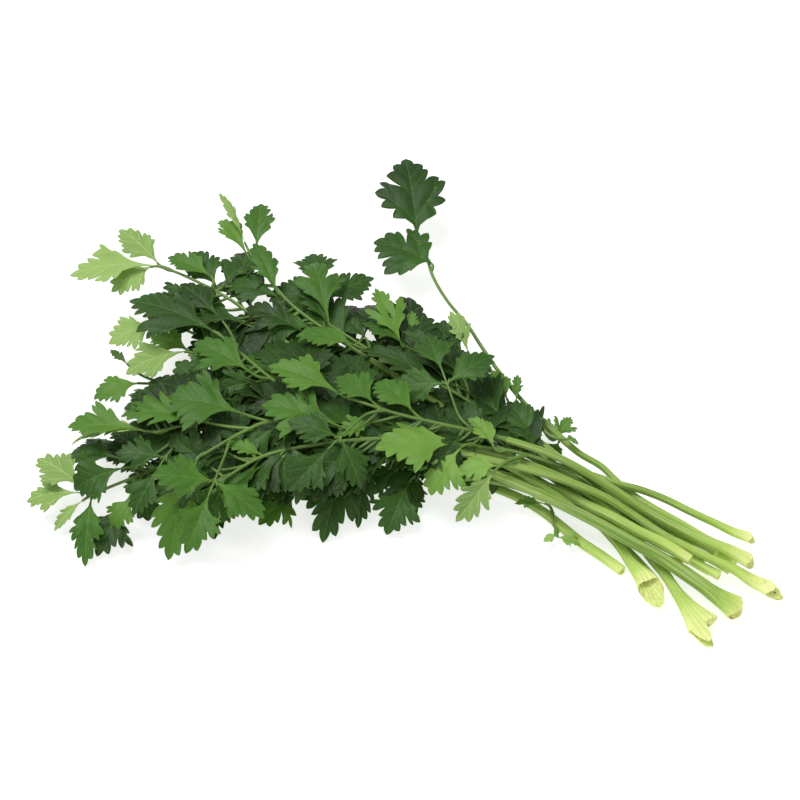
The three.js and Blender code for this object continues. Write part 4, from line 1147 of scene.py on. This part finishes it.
def margin_of(marks, size, step):
    """One side's margin: a straight foot, then bellied teeth with blunt tips."""
    at = [np.array(mark[:2]) * size for mark in marks]
    margin = [at[0][None]]
    for k in range(1, len(at)):
        way = at[k] - at[k - 1]
        belly = BELLIES.get(f"{marks[k][2]} after {marks[k - 1][2]}", TOOTH_BELLY)
        bend = (at[k] + at[k - 1]) / 2 + np.array([-way[1], way[0]]) * belly
        parts = max(2, int(math.ceil(np.linalg.norm(way) / step)))
        run = bow_flat(at[k - 1], bend, at[k], np.arange(1, parts + 1) / parts)
        if marks[k - 1][2] in ("tooth", "lobe"):
            near = margin[-1][-1]
            before, after = margin[-1][-2] - near, run[0] - near
            a = near + before / np.linalg.norm(before) * BLUNT
            b = near + after / np.linalg.norm(after) * BLUNT
            margin[-1] = np.vstack([margin[-1][:-1], a, (a + b + 2 * near) / 4, b])
        margin.append(run)
    return np.vstack(margin)


def side_veins(marks, side, size, step):
    """Veins of one side: one to each lobe, and from it one to each tooth."""
    curves = {}
    first_lobe = next(u for u, _, kind in marks if kind == "lobe")
    for u, v, kind in marks:
        if kind == "lobe":
            start = np.array([max(0.03, u - 0.14 - 0.28 * v), 0.0])
            end = np.array([u - 0.004, v * 0.97])
            curves[u] = (start, start + (end - start) * [0.6, 0.5], end)
    for u, v, kind in marks:
        if kind == "tooth":
            start = bow_flat(*curves[first_lobe], [0.42 if u < first_lobe else 0.6])[0]
            end = np.array([u, v * 0.96])
            curves[u] = (start, start + (end - start) * [0.55, 0.45], end)
    veins = []
    for u, curve in curves.items():
        start, bend, end = (point * size * [1, side] for point in curve)
        parts = max(3, int(math.ceil(np.linalg.norm(end - start) / step / 1.3)))
        main = any(kind == "lobe" and at == u for at, _, kind in marks)
        veins.append((bow_flat(start, bend, end, np.linspace(0, 1, parts + 1)),
                      0.0 if main else 0.05))
    return veins


def distance_to(points, vein):
    a, b = vein[:-1], vein[1:]
    way = b - a
    t = np.sum((points[:, None] - a) * way, axis=2) / np.maximum(1e-9, np.sum(way**2, axis=1))
    foot = a + np.clip(t, 0, 1)[..., None] * way
    return np.min(np.linalg.norm(points[:, None] - foot, axis=2), axis=1)


def between_veins(points, first, last, edges, step):
    """Places midway between neighbouring veins, so that the veins stay thin."""
    near = delaunay_2d_cdt([Vector(p) for p in points[first:]], [], [], 0, 1e-4)[2]
    near = np.array(near) + first
    pairs = np.sort(np.vstack([near[:, [0, 1]], near[:, [1, 2]], near[:, [2, 0]]]), axis=1)
    pairs = np.unique(pairs[pairs[:, 1] < last], axis=0)
    along = {tuple(edge) for edge in edges}
    kept = [pair for pair in pairs.tolist() if tuple(pair) not in along]
    middle = np.array([(points[a] + points[b]) / 2 for a, b in kept]).reshape(-1, 2)
    run = np.array([np.linalg.norm(points[a] - points[b]) for a, b in kept])
    return middle[(run > step * 0.6) & (run < step * 3)]


def leaflet_pattern(form, length, half, steps):
    """A flat leaflet in millimetres: points, triangles, distance to a vein."""
    edge_step, grid_step = steps
    size = np.array([length, half])
    parts = int(math.ceil(length / edge_step))
    midrib = np.stack([np.linspace(0, 0.97 * length, parts + 1), np.zeros(parts + 1)], 1)
    veins = [(midrib, -0.08)]
    margins = []
    for side in (1, -1):
        marks = side_marks(form)
        veins += side_veins(marks, side, size, edge_step)
        margins.append(margin_of(marks, size, edge_step) * [1, side])
    loop = np.vstack([margins[0], margins[1][::-1][1:]])
    drawn = np.vstack([loop] + [vein for vein, _ in veins])
    across = np.arange(-half * 1.1, half * 1.1, grid_step * 0.87)
    gx, gy = np.meshgrid(np.arange(0, length, grid_step), across)
    gx = gx + (np.arange(len(across)) % 2)[:, None] * grid_step / 2
    grid = np.stack([gx.ravel(), gy.ravel()], 1)
    grid += scatter.uniform(-0.12, 0.12, grid.shape) * grid_step
    gap = np.min(np.linalg.norm(grid[:, None] - drawn[None], axis=2), axis=1)
    points = np.vstack([drawn, grid[gap > grid_step * 0.5]])
    edges = []
    start = len(loop)
    for vein, _ in veins:
        edges += [(start + k, start + k + 1) for k in range(len(vein) - 1)]
        start += len(vein)
    points = np.vstack([points, between_veins(points, len(loop), len(drawn), edges, edge_step)])
    found = delaunay_2d_cdt([Vector(p) for p in points], edges, [list(range(len(loop)))],
                            1, MERGE)
    flat = np.array([tuple(p) for p in found[0]])
    triangles = np.array(found[2])
    a, b, c = (flat[triangles[:, k]] for k in range(3))
    area = (b[:, 0] - a[:, 0]) * (c[:, 1] - a[:, 1]) - (c[:, 0] - a[:, 0]) * (b[:, 1] - a[:, 1])
    triangles[area < 0] = triangles[area < 0][:, ::-1]
    used = np.unique(triangles)
    fresh = np.full(len(flat), -1)
    fresh[used] = np.arange(len(used))
    flat, triangles = flat[used], fresh[triangles]
    gap = np.min([distance_to(flat, vein) + extra for vein, extra in veins], axis=0)
    return flat, triangles, gap


def rim_edges(triangles):
    """Edges with a triangle on one side only, in the triangles' own order."""
    once = {}
    for a, b, c in triangles.tolist():
        for p, q in ((a, b), (b, c), (c, a)):
            if once.pop((q, p), None) is None:
                once[(p, q)] = True
    return np.array(list(once))


def corner_normals(points, triangles):
    a, b, c = (points[triangles[:, k]] for k in range(3))
    n = np.cross(b - a, c - a)
    out = np.zeros_like(points)
    for k in range(3):
        np.add.at(out, triangles[:, k], n)
    return unit(out + 1e-12)


def add_blade(build, middle, flat, triangles, gap, tone, facing):
    """A thin blade round its middle surface: upper face, under face and rim."""
    normals = corner_normals(middle, triangles)
    relief = (PANEL_RISE * (1 - np.exp(-((np.maximum(gap, 0) / PANEL_REACH) ** 1.5)))
              - VEIN_SINK * np.exp(-((gap / VEIN_WIDTH) ** 2)))
    middle = middle + normals * relief[:, None] * facing
    normals = corner_normals(middle, triangles)
    upper = middle + normals * BLADE_HALF_THICKNESS
    under = middle - normals * BLADE_HALF_THICKNESS
    lift = np.maximum(0, LEAST_HEIGHT + 0.05 - np.minimum(upper[:, 2], under[:, 2]))
    upper[:, 2] += lift
    under[:, 2] += lift
    rim = rim_edges(triangles)
    count = len(middle)
    a, b = rim[:, 0], rim[:, 1]
    walls = np.vstack([np.stack([a, a + count, b + count], 1), np.stack([a, b + count, b], 1)])
    faces = np.vstack([triangles, triangles[:, ::-1] + count, walls])
    first, second = (UPPER, UNDER) if facing > 0 else (UNDER, UPPER)
    slots = np.repeat([first, second, RIM], [len(triangles), len(triangles), len(walls)])
    build.add(np.vstack([upper, under]), faces, slots, np.vstack([flat, flat]), tone)
    build.gap.append(np.concatenate([gap, gap]))


LOBE_DIP = 0.045            # the lobes' usual dip or rise, as the rest of the leaflet's length
TIP_NOD = (0.03, 0.04)      # how far the tip hangs, and how much that varies
EDGE_WAVE, EDGE_TURNS = 0.014, 17
SLOW_WAVE, SLOW_TURNS = 0.012, 6


def lively(u, v, length):
    """Lobes that dip or rise on their own, and small waves at the margin."""
    edge_at, side_at, slow_at = scatter.uniform(0, 2 * np.pi, 3)
    left, right = scatter.normal(0, LOBE_DIP, 2)
    out = np.abs(v)
    lobe = np.where(v > 0, left, right) * np.clip((out - 0.25) / 0.75, 0, 1) ** 1.5
    nod = -abs(scatter.normal(*TIP_NOD)) * (np.clip(u - 0.5, 0, 1) * 2) ** 2
    edge = EDGE_WAVE * np.sin(u * EDGE_TURNS + edge_at + np.sign(v) * side_at) * out**2
    slow = SLOW_WAVE * np.sin(u * SLOW_TURNS + slow_at) * out
    return length * (lobe + nod + edge + slow)


def add_leaflet(build, row, tone):
    length, half = row["frame"]["length"], row["width"] / 2
    steps = PLAIN_STEPS if row.get("hidden") else FINE_STEPS
    flat, triangles, gap = leaflet_pattern(row["form"], length, half, steps)
    u, v = flat[:, 0] / length, flat[:, 1] / half
    middle, face = blade_points(row["frame"], row, u, v)
    middle = middle + face * lively(u, v, length)[:, None]
    facing = -1 if row["face"] == "under" else 1
    add_blade(build, middle, flat, triangles, gap, tone, facing)


SPRAY_PARTS = [     # form, foot and tip in the spray's own shares, half width in mm per mm
    ("broad", (0.44, 0.0), (1.0, 0.0), 0.40),
    ("side", (0.31, 0.05), (0.5, 1.0), 0.36),
    ("side", (0.31, -0.05), (0.5, -1.0), 0.36),
]


def add_spray(build, row, tone):
    """Three leaflets on one short stalk, laid on the spray's own surface."""
    length, half = row["frame"]["length"], row["width"] / 2
    for k, (form, foot, tip, stout) in enumerate(SPRAY_PARTS):
        foot_at, tip_at = np.array(foot) * [length, half], np.array(tip) * [length, half]
        own = float(np.linalg.norm(tip_at - foot_at))
        way = (tip_at - foot_at) / own
        flat, triangles, gap = leaflet_pattern(form, own, own * stout, FINE_STEPS)
        at = foot_at + flat[:, :1] * way + flat[:, 1:] * np.array([-way[1], way[0]])
        middle, face = blade_points(row["frame"], row, at[:, 0] / length, at[:, 1] / half)
        stir = lively(flat[:, 0] / own, flat[:, 1] / (own * stout), own)
        middle = middle + face * stir[:, None]
        add_blade(build, middle, flat, triangles, gap, tone, 1)
        u = np.linspace(foot[0] - 0.03 if k else 0.0, foot[0] + 0.03, 5 if k else 12)
        v = np.linspace(0, foot[1] * 1.5, len(u))
        path, _ = blade_points(row["frame"], row, u, v)
        add_stalklet(build, path, SPRAY_STALKLET_RADII, tone)


STALKLET_SIDES = 8
STALKLET_RING_SPACING = 1.2
STALKLET_RADII = (0.8, 0.55)            # at the stem and at the blade
SPRAY_STALKLET_RADII = (0.55, 0.42)


def add_stalklet(build, path, radii, tone):
    """A thin round stalk along the path, over the table all the way."""
    points, shares, marks = resampled(path, STALKLET_RING_SPACING)
    radius = radii[0] + (radii[1] - radii[0]) * shares
    turn = np.arange(STALKLET_SIDES) / STALKLET_SIDES * 2 * np.pi
    profile = radius[:, None, None] * np.stack([np.cos(turn), np.sin(turn)], 1)[None]
    frames = frames_along(points)
    before = build.count
    points[:, 2] = np.maximum(points[:, 2], radius + 0.05)
    tube(build, points, frames, profile, TWIG, tone, marks)
    build.gap.append(np.full(build.count - before, NO_VEIN))


RACHIS_SIDES = 14
RACHIS_RING_SPACING = 1.6
RACHIS_RIBS, RACHIS_RIB_HEIGHT = 4, 0.07
RACHIS_TONE = 0.5
RACHIS_TRIM = 0.86          # of the solid stem's radius
THREAD_TRIM = 0.42          # for the torn shoot's thread of a stem


def add_rachis(build, line):
    """The leafy part's own stem, from the last of the bare stalk to its tip."""
    first = line["fork"]
    stations = line["now"][first:]
    points, shares, marks = resampled(stations, RACHIS_RING_SPACING)
    at = first + shares * (len(stations) - 1)
    index = np.arange(len(line["now"]))
    wide, high = np.interp(at, index, line["wide"]), np.interp(at, index, line["high"])
    turn = np.arange(RACHIS_SIDES) / RACHIS_SIDES * 2 * np.pi
    ribs = 1 + RACHIS_RIB_HEIGHT * np.cos(RACHIS_RIBS * turn)[None, :]
    ribs = ribs * (THREAD_TRIM if line["stem"]["end"] == "young" else RACHIS_TRIM)
    profile = np.stack([np.cos(turn) * wide[:, None] * ribs,
                        np.sin(turn) * high[:, None] * ribs], 2)
    before = build.count
    tube(build, points, frames_along(points), profile, TWIG, RACHIS_TONE, marks)
    build.gap.append(np.full(build.count - before, NO_VEIN))


# The darkest of these greens, given to leaflets deep in the heap, is painted shade.
LEAF_AGES_AND_SHADE = (               # from old and dark to young and pale
    (0.00, srgb(24, 48, 18)), (0.20, srgb(48, 86, 30)), (0.40, srgb(72, 116, 40)),
    (0.60, srgb(100, 144, 54)), (0.80, srgb(134, 174, 80)), (1.0, srgb(162, 196, 106)),
)
UNDER_SKIN = srgb(158, 188, 112)
RIM_SKIN = srgb(150, 184, 88)
TOP_NET, TOP_VEIN = srgb(140, 178, 80), srgb(156, 192, 92)
UNDER_NET, UNDER_VEIN = srgb(186, 208, 140), srgb(196, 216, 146)
LIGHT_THROUGH = srgb(110, 170, 30)
THROUGH_SHARE = 0.15
CLOUD_GRAIN = 38.0
LEAF_GLOSS_GRAIN = 300.0
VEIN_EDGE = (0.02, 0.22)    # millimetres from a vein's middle
FOOT_PALE = (1.0, 18.0)     # millimetres over which a leaflet's foot is paler
NET_SCALE = 0.9             # of the small cells between veins, in cells to a millimetre


def leaf_colour(start, tone, body, place):
    """Green of a blade's upper face, from old dark to young yellow-green; the darkest, on leaflets
    deep in the heap, is painted shade.
    """
    cloud = start.noise(body, CLOUD_GRAIN)
    along = start.node("ShaderNodeSeparateXYZ", {}, {0: place}, 0)
    age = tone + cloud * 0.22 - 0.13 + along.ramp(*FOOT_PALE, 0.10, 0.0)
    return age.colours(*LEAF_AGES_AND_SHADE)


def let_light_through(start, shader, share, colour):
    """Mixes a translucent share into a leaf's surface."""
    out = start.tree.nodes["Material Output"]
    glow = start.node("ShaderNodeBsdfTranslucent", {}, {"Color": colour})
    surface = Shade(start.tree, shader.outputs[0])
    mixed = start.node("ShaderNodeMixShader", {}, {0: share, 1: surface, 2: glow})
    start.tree.links.new(mixed.socket, out.inputs["Surface"])


def leaf_material(name, face):
    material, shader, start = shader_sheet(name)
    tone = start.node("ShaderNodeAttribute", {"attribute_name": "tone"}, {}, 2)
    gap = start.node("ShaderNodeAttribute", {"attribute_name": "vein_gap"}, {}, 2)
    body = start.node("ShaderNodeTexCoord", {}, {}, 3)
    place = start.node("ShaderNodeUVMap", {"uv_map": "place"}, {})
    cells = start.node("ShaderNodeTexVoronoi", {"feature": "DISTANCE_TO_EDGE"},
                       {"Vector": place, "Scale": NET_SCALE})
    net = cells.ramp(0.02, 0.16, 1.0, 0.0)
    vein = gap.ramp(*VEIN_EDGE, 1.0, 0.0)
    skin = leaf_colour(start, tone, body, place)
    if face == "top":
        skin = (net * 0.06).blend(skin, TOP_NET)
        skin = (vein * 0.14).blend(skin, TOP_VEIN)
        rough, sheen = 0.45, 0.22
    elif face == "under":
        skin = start.node("ShaderNodeMix", {"data_type": "RGBA"},
                          {0: 0.55, 6: skin, 7: UNDER_SKIN}, 2)
        skin = (net * 0.10).blend(skin, UNDER_NET)
        skin = (vein * 0.5).blend(skin, UNDER_VEIN)
        rough, sheen = 0.6, 0.15
    else:                   # the cut-thin rim
        skin = start.node("ShaderNodeMix", {"data_type": "RGBA"},
                          {0: 0.25, 6: skin, 7: RIM_SKIN}, 2)
        rough, sheen = 0.5, 0.2
    height = cells.ramp(0.0, 0.3) * 0.6 + start.noise(body, FINEST_GRAIN) * 0.5
    finish_shader(start, shader, {
        "Base Color": skin,
        "Roughness": rough + start.noise(body, LEAF_GLOSS_GRAIN) * 0.16 - 0.08,
        "Specular IOR Level": sheen,
    }, height, 0.2, 0.0002)
    let_light_through(start, shader, THROUGH_SHARE, LIGHT_THROUGH)
    return material


TWIG_SHADES = ((0.1, srgb(64, 98, 36)), (0.45, srgb(86, 122, 46)), (0.8, srgb(118, 152, 66)))
TWIG_FIBRE = srgb(136, 166, 82)


def twig_material():
    material, shader, start = shader_sheet("leaf_stem")
    body = start.node("ShaderNodeTexCoord", {}, {}, 3)
    tone = start.node("ShaderNodeAttribute", {"attribute_name": "tone"}, {}, 2)
    place = start.node("ShaderNodeUVMap", {"uv_map": "place"}, {})
    along = start.node("ShaderNodeSeparateXYZ", {}, {0: place}, 0)
    around = Shade(start.tree, along.socket.node.outputs[1])
    strand = start.node("ShaderNodeCombineXYZ", {},
                        {0: along * 0.05, 1: around * 14.0, 2: tone * 9.0})
    fibres = start.noise(strand, 1.0, 2.0)
    skin = (start.noise(body, 80.0) * 0.5 + tone * 0.4).colours(*TWIG_SHADES)
    skin = (fibres.ramp(0.4, 0.65) * 0.3).blend(skin, TWIG_FIBRE)
    finish_shader(start, shader, {"Base Color": skin, "Roughness": 0.4 + fibres * 0.1},
                  fibres, 0.3, 0.0002)
    return material


leaf_materials = [leaf_material("leaf_upper", "top"), leaf_material("leaf_under", "under"),
                  leaf_material("leaf_rim", "rim"), twig_material()]


class LeafBuild(Build):
    """A Build that also holds how far each point is from a vein."""

    def __init__(self):
        super().__init__()
        self.gap = []


def sharpen_rims(mesh):
    """Keeps the shading of a blade's two faces apart from its rim."""
    shape = bmesh.new()
    shape.from_mesh(mesh)
    for edge in shape.edges:
        sides = edge.link_faces
        if len(sides) == 2 and sides[0].material_index != sides[1].material_index:
            edge.smooth = False
    shape.to_mesh(mesh)
    shape.free()


def weigh_shading(mesh):
    """Shades every point by its faces' areas, so that thin triangles don't show."""
    points = np.empty(len(mesh.vertices) * 3)
    mesh.vertices.foreach_get("co", points)
    points = points.reshape(-1, 3)
    corners = np.empty(len(mesh.loops), np.int32)
    mesh.loops.foreach_get("vertex_index", corners)
    corners = corners.reshape(-1, 3)
    slots = np.empty(len(corners), np.int32)
    mesh.polygons.foreach_get("material_index", slots)
    on_rim = (slots == RIM).astype(int)
    a, b, c = (points[corners[:, k]] for k in range(3))
    area = np.cross(b - a, c - a)
    lean = np.zeros((2, len(points), 3))
    for k in range(3):
        np.add.at(lean, (on_rim, corners[:, k]), area)
    lean /= np.maximum(np.linalg.norm(lean, axis=2, keepdims=True), 1e-15)
    mesh.normals_split_custom_set(lean[on_rim[:, None], corners].reshape(-1, 3).tolist())


# Small leaflets fill the heap under the larger ones, in the darkest greens,
# which are painted shade of the heap's inside. Each grows on its own stem,
# where it has most room of a few places tried.
FILL_SPACING = 3.6          # of the leafy part for each leaflet
FILL_TRIES = 30
ROOF_REACH = 20.0           # other stems' leaflets this near, on all sides, hide it
ROOF_SIDES = 12             # all sides of it are so many,
OPEN_SIDES = 1              # but for so many
COVER_REACH = 8.0           # where others are this near, it lies
ROOF_DROP = 3.0             # at least so far behind them
HIDDEN_SHARE = 0.9          # of it that has to be hidden
LEAST_ROOM = 1.2            # to other leaflets
CROWDED_SHARE = 0.25        # of it that may be nearer
SEEN_RIGHT = unit(np.array([-SLIDE_WAY[1], SLIDE_WAY[0], 0.0]))
SEEN_UP = np.cross(SLIDE_WAY, SEEN_RIGHT)
UNFILLED = {"lone", "young_low"}
MARKS_U, MARKS_V = np.meshgrid([0.05, 0.25, 0.45, 0.65, 0.82, 1.0], [-0.7, 0.0, 0.7])
MARKS_U = MARKS_U.ravel()
MARKS_V = (MARKS_V * (1.1 - MARKS_U.reshape(3, 6) * 0.6)).ravel()


def blade_marks(row):
    points, _ = blade_points(row["frame"], row, MARKS_U, MARKS_V)
    return points


FILL_LENGTHS = (20, 33)
FILL_WIDTHS = (0.7, 0.95)   # of their lengths


def fill_row(line, place):
    """One small leaflet that could grow at this place of the stem."""
    now = line["now"]
    i = int(np.clip(place, first_leafy(line), len(now) - 2))
    along = unit((now[i + 1] - now[i - 1]) * [1, 1, 0.3])
    turn = scatter.choice([-1, 1]) * scatter.uniform(0.35, 1.5)
    way = np.array([along[0] * math.cos(turn) - along[1] * math.sin(turn),
                    along[0] * math.sin(turn) + along[1] * math.cos(turn),
                    scatter.uniform(-0.45, 0.10)])
    way = unit(way)
    length = scatter.uniform(*FILL_LENGTHS)
    base = now[i] + way * scatter.uniform(3, 10)
    tip = base + way * length
    base[2], tip[2] = max(base[2], 1.2), max(tip[2], 1.0)
    roll = scatter.normal(0, 22)
    return {
        "base": base, "tip": tip, "width": length * scatter.uniform(*FILL_WIDTHS), "roll": roll,
        "form": str(scatter.choice(["broad", "deep", "side"])), "fold": scatter.uniform(0.1, 0.35),
        "curl": scatter.uniform(0.1, 0.4), "wave": scatter.uniform(0, 0.14), "hidden": True,
        # the darkest tones, painted shade of the heap's inside
        "phase": scatter.uniform(0, 6.28), "tone": scatter.uniform(0.0, 0.19), "face": "top",
        "frame": leaflet_frame(now[i], base, tip, roll, 0),
    }


def seen(points):
    """Points as seen along the way the heap faces: right, up and nearness."""
    return np.stack([points @ SEEN_RIGHT, points @ SEEN_UP, points @ SLIDE_WAY], axis=1)


def hidden_share(marks, roof):
    """How much of a leaflet lies behind others that are on all its sides."""
    way = seen(roof)[None] - seen(marks)[:, None]
    near = np.hypot(way[..., 0], way[..., 1]) < ROOF_REACH
    turn = np.arctan2(way[..., 1], way[..., 0]) / (2 * math.pi) * ROOF_SIDES
    side_of = np.round(turn).astype(int) % ROOF_SIDES
    sides = [(near & (side_of == side)).any(axis=1) for side in range(ROOF_SIDES)]
    over = np.hypot(way[..., 0], way[..., 1]) < COVER_REACH
    behind = (np.where(over, way[..., 2], -99.0).max(axis=1) > ROOF_DROP) | ~over.any(axis=1)
    return np.mean((np.sum(sides, axis=0) >= ROOF_SIDES - OPEN_SIDES) & behind)


def room_for(marks, taken):
    """How far a leaflet is from the rest as seen, or 0 where it is crowded."""
    way = taken[None] - marks[6:, None]
    crowded = (np.linalg.norm(way, axis=2).min(axis=1) < LEAST_ROOM).mean()
    if crowded > CROWDED_SHARE:
        return 0.0
    flat = np.hypot(way @ SEEN_RIGHT, way @ SEEN_UP)
    return flat.min(axis=1).mean()


def fill_heap():
    """Adds to each stem's rows the small leaflets that hide under others."""
    marks = [(number, blade_marks(row))
             for number, line in enumerate(lines) for row in line["rows"]]
    canopy = np.vstack([points for _, points in marks])
    owner = np.repeat([number for number, _ in marks], len(MARKS_U))
    taken = np.vstack([canopy] + [line["now"] for line in lines])
    for number, line in enumerate(lines):
        run = len(line["now"]) - first_leafy(line)
        if line["stem"]["name"] in UNFILLED:
            continue
        others = [other["now"] for other in lines if other is not line]
        roof = np.vstack([canopy[owner != number]] + others)
        wished = int(run * STATION_STEP / FILL_SPACING)
        for k in range(wished):
            place = first_leafy(line) + run * (k + 0.5) / wished
            best = (0.0, None)
            for _ in range(FILL_TRIES):
                row = fill_row(line, place + scatter.uniform(-2, 2))
                marks = blade_marks(row)
                if marks[:, 2].min() < 0.6 or hidden_share(marks, roof) < HIDDEN_SHARE:
                    continue
                room = room_for(marks, taken)
                if room > best[0]:
                    best = (room, row)
            if best[1] is not None:
                line["rows"].append(best[1])
                taken = np.vstack([taken, blade_marks(best[1])])


fill_heap()


TONE_SPREAD = 0.05          # either way, from leaflet to leaflet


def make_leaves(line, number):
    """One stem's leafy part as one piece, in place of its solid."""
    build = LeafBuild()
    add_rachis(build, line)
    for row in line["rows"]:
        tone = row["tone"] + scatter.uniform(-TONE_SPREAD, TONE_SPREAD)
        if row["form"] == "trefoil":
            add_spray(build, row, tone)
        else:
            add_leaflet(build, row, tone)
        path, _ = bow(row["frame"]["stalklet"], np.linspace(0, 1, 12))
        add_stalklet(build, path, STALKLET_RADII, tone)
    piece = build.piece(f"leaf_piece_{number:02d}", leaf_materials, f"leaves_{number:02d}", "leaf")
    vein_gap = piece.data.attributes.new("vein_gap", "FLOAT", "POINT")
    vein_gap.data.foreach_set("value", np.concatenate(build.gap).astype(np.float32))
    sharpen_rims(piece.data)
    weigh_shading(piece.data)


for number, line in enumerate(lines, 1):
    make_leaves(line, number)

# ---- Table, light and camera --------------------------------------------
# A plain white table under a soft even sky with one large lamp above and
# to the left, and the camera looking down on the heap from its right.

FLOOR_SIDE = 6.0
CAMERA_TARGET = Vector((-0.013, 0.0075, 0.0))
CAMERA_AZIMUTH = math.radians(25)
CAMERA_ELEVATION = math.radians(50)
CAMERA_DISTANCE = 0.8
LENS = 82.3
SENSOR_WIDTH = 36.0
TABLE_GLOW = 1.35           # keeps the table nearly white, as in a light box
SKY_STRENGTH = 0.5


def floor_material():
    material, shader, start = shader_sheet("table_top")
    body = start.node("ShaderNodeTexCoord", {}, {}, 3)
    grain = start.noise(body, 40.0, 4.0)
    skin = grain.colours((0.3, srgb(186, 186, 186)), (0.7, srgb(192, 192, 192)))
    finish_shader(start, shader, {"Base Color": skin, "Roughness": 0.6 + grain * 0.1,
                                  "Specular IOR Level": 0.2, "Emission Color": skin,
                                  "Emission Strength": TABLE_GLOW})
    return material


def make_floor():
    shape = bmesh.new()
    bmesh.ops.create_grid(shape, x_segments=8, y_segments=8, size=FLOOR_SIDE / 2)
    mesh = bpy.data.meshes.new("table_top")
    shape.to_mesh(mesh)
    shape.free()
    mesh.materials.append(floor_material())
    floor = bpy.data.objects.new("table_top", mesh)
    bpy.context.scene.collection.objects.link(floor)


def make_lamp(name, place, size, power):
    lamp = bpy.data.lights.new(name, "AREA")
    lamp.size = size
    lamp.energy = power
    holder = bpy.data.objects.new(name, lamp)
    holder.location = place
    holder.rotation_euler = (Vector(place) * -1).to_track_quat("-Z", "Y").to_euler()
    bpy.context.scene.collection.objects.link(holder)


make_floor()
make_lamp("main_lamp", place=(-0.7, 0.1, 1.6), size=1.0, power=22.0)
make_lamp("fill_lamp", place=(0.9, -0.9, 1.1), size=1.6, power=5.0)
world = bpy.data.worlds.new("pale_sky")
world.use_nodes = True
world.node_tree.nodes["Background"].inputs[0].default_value = (1.0, 1.0, 1.0, 1.0)
world.node_tree.nodes["Background"].inputs[1].default_value = SKY_STRENGTH
bpy.context.scene.world = world
bpy.context.scene.view_settings.view_transform = "Standard"

back = Vector((math.sin(CAMERA_AZIMUTH) * math.cos(CAMERA_ELEVATION),
               -math.cos(CAMERA_AZIMUTH) * math.cos(CAMERA_ELEVATION),
               math.sin(CAMERA_ELEVATION)))
camera = bpy.data.cameras.new("view")
camera.lens = LENS
camera.sensor_width = SENSOR_WIDTH
holder = bpy.data.objects.new("view", camera)
holder.location = CAMERA_TARGET + back * CAMERA_DISTANCE
holder.rotation_euler = (-back).to_track_quat("-Z", "Y").to_euler()
bpy.context.scene.collection.objects.link(holder)
bpy.context.scene.camera = holder
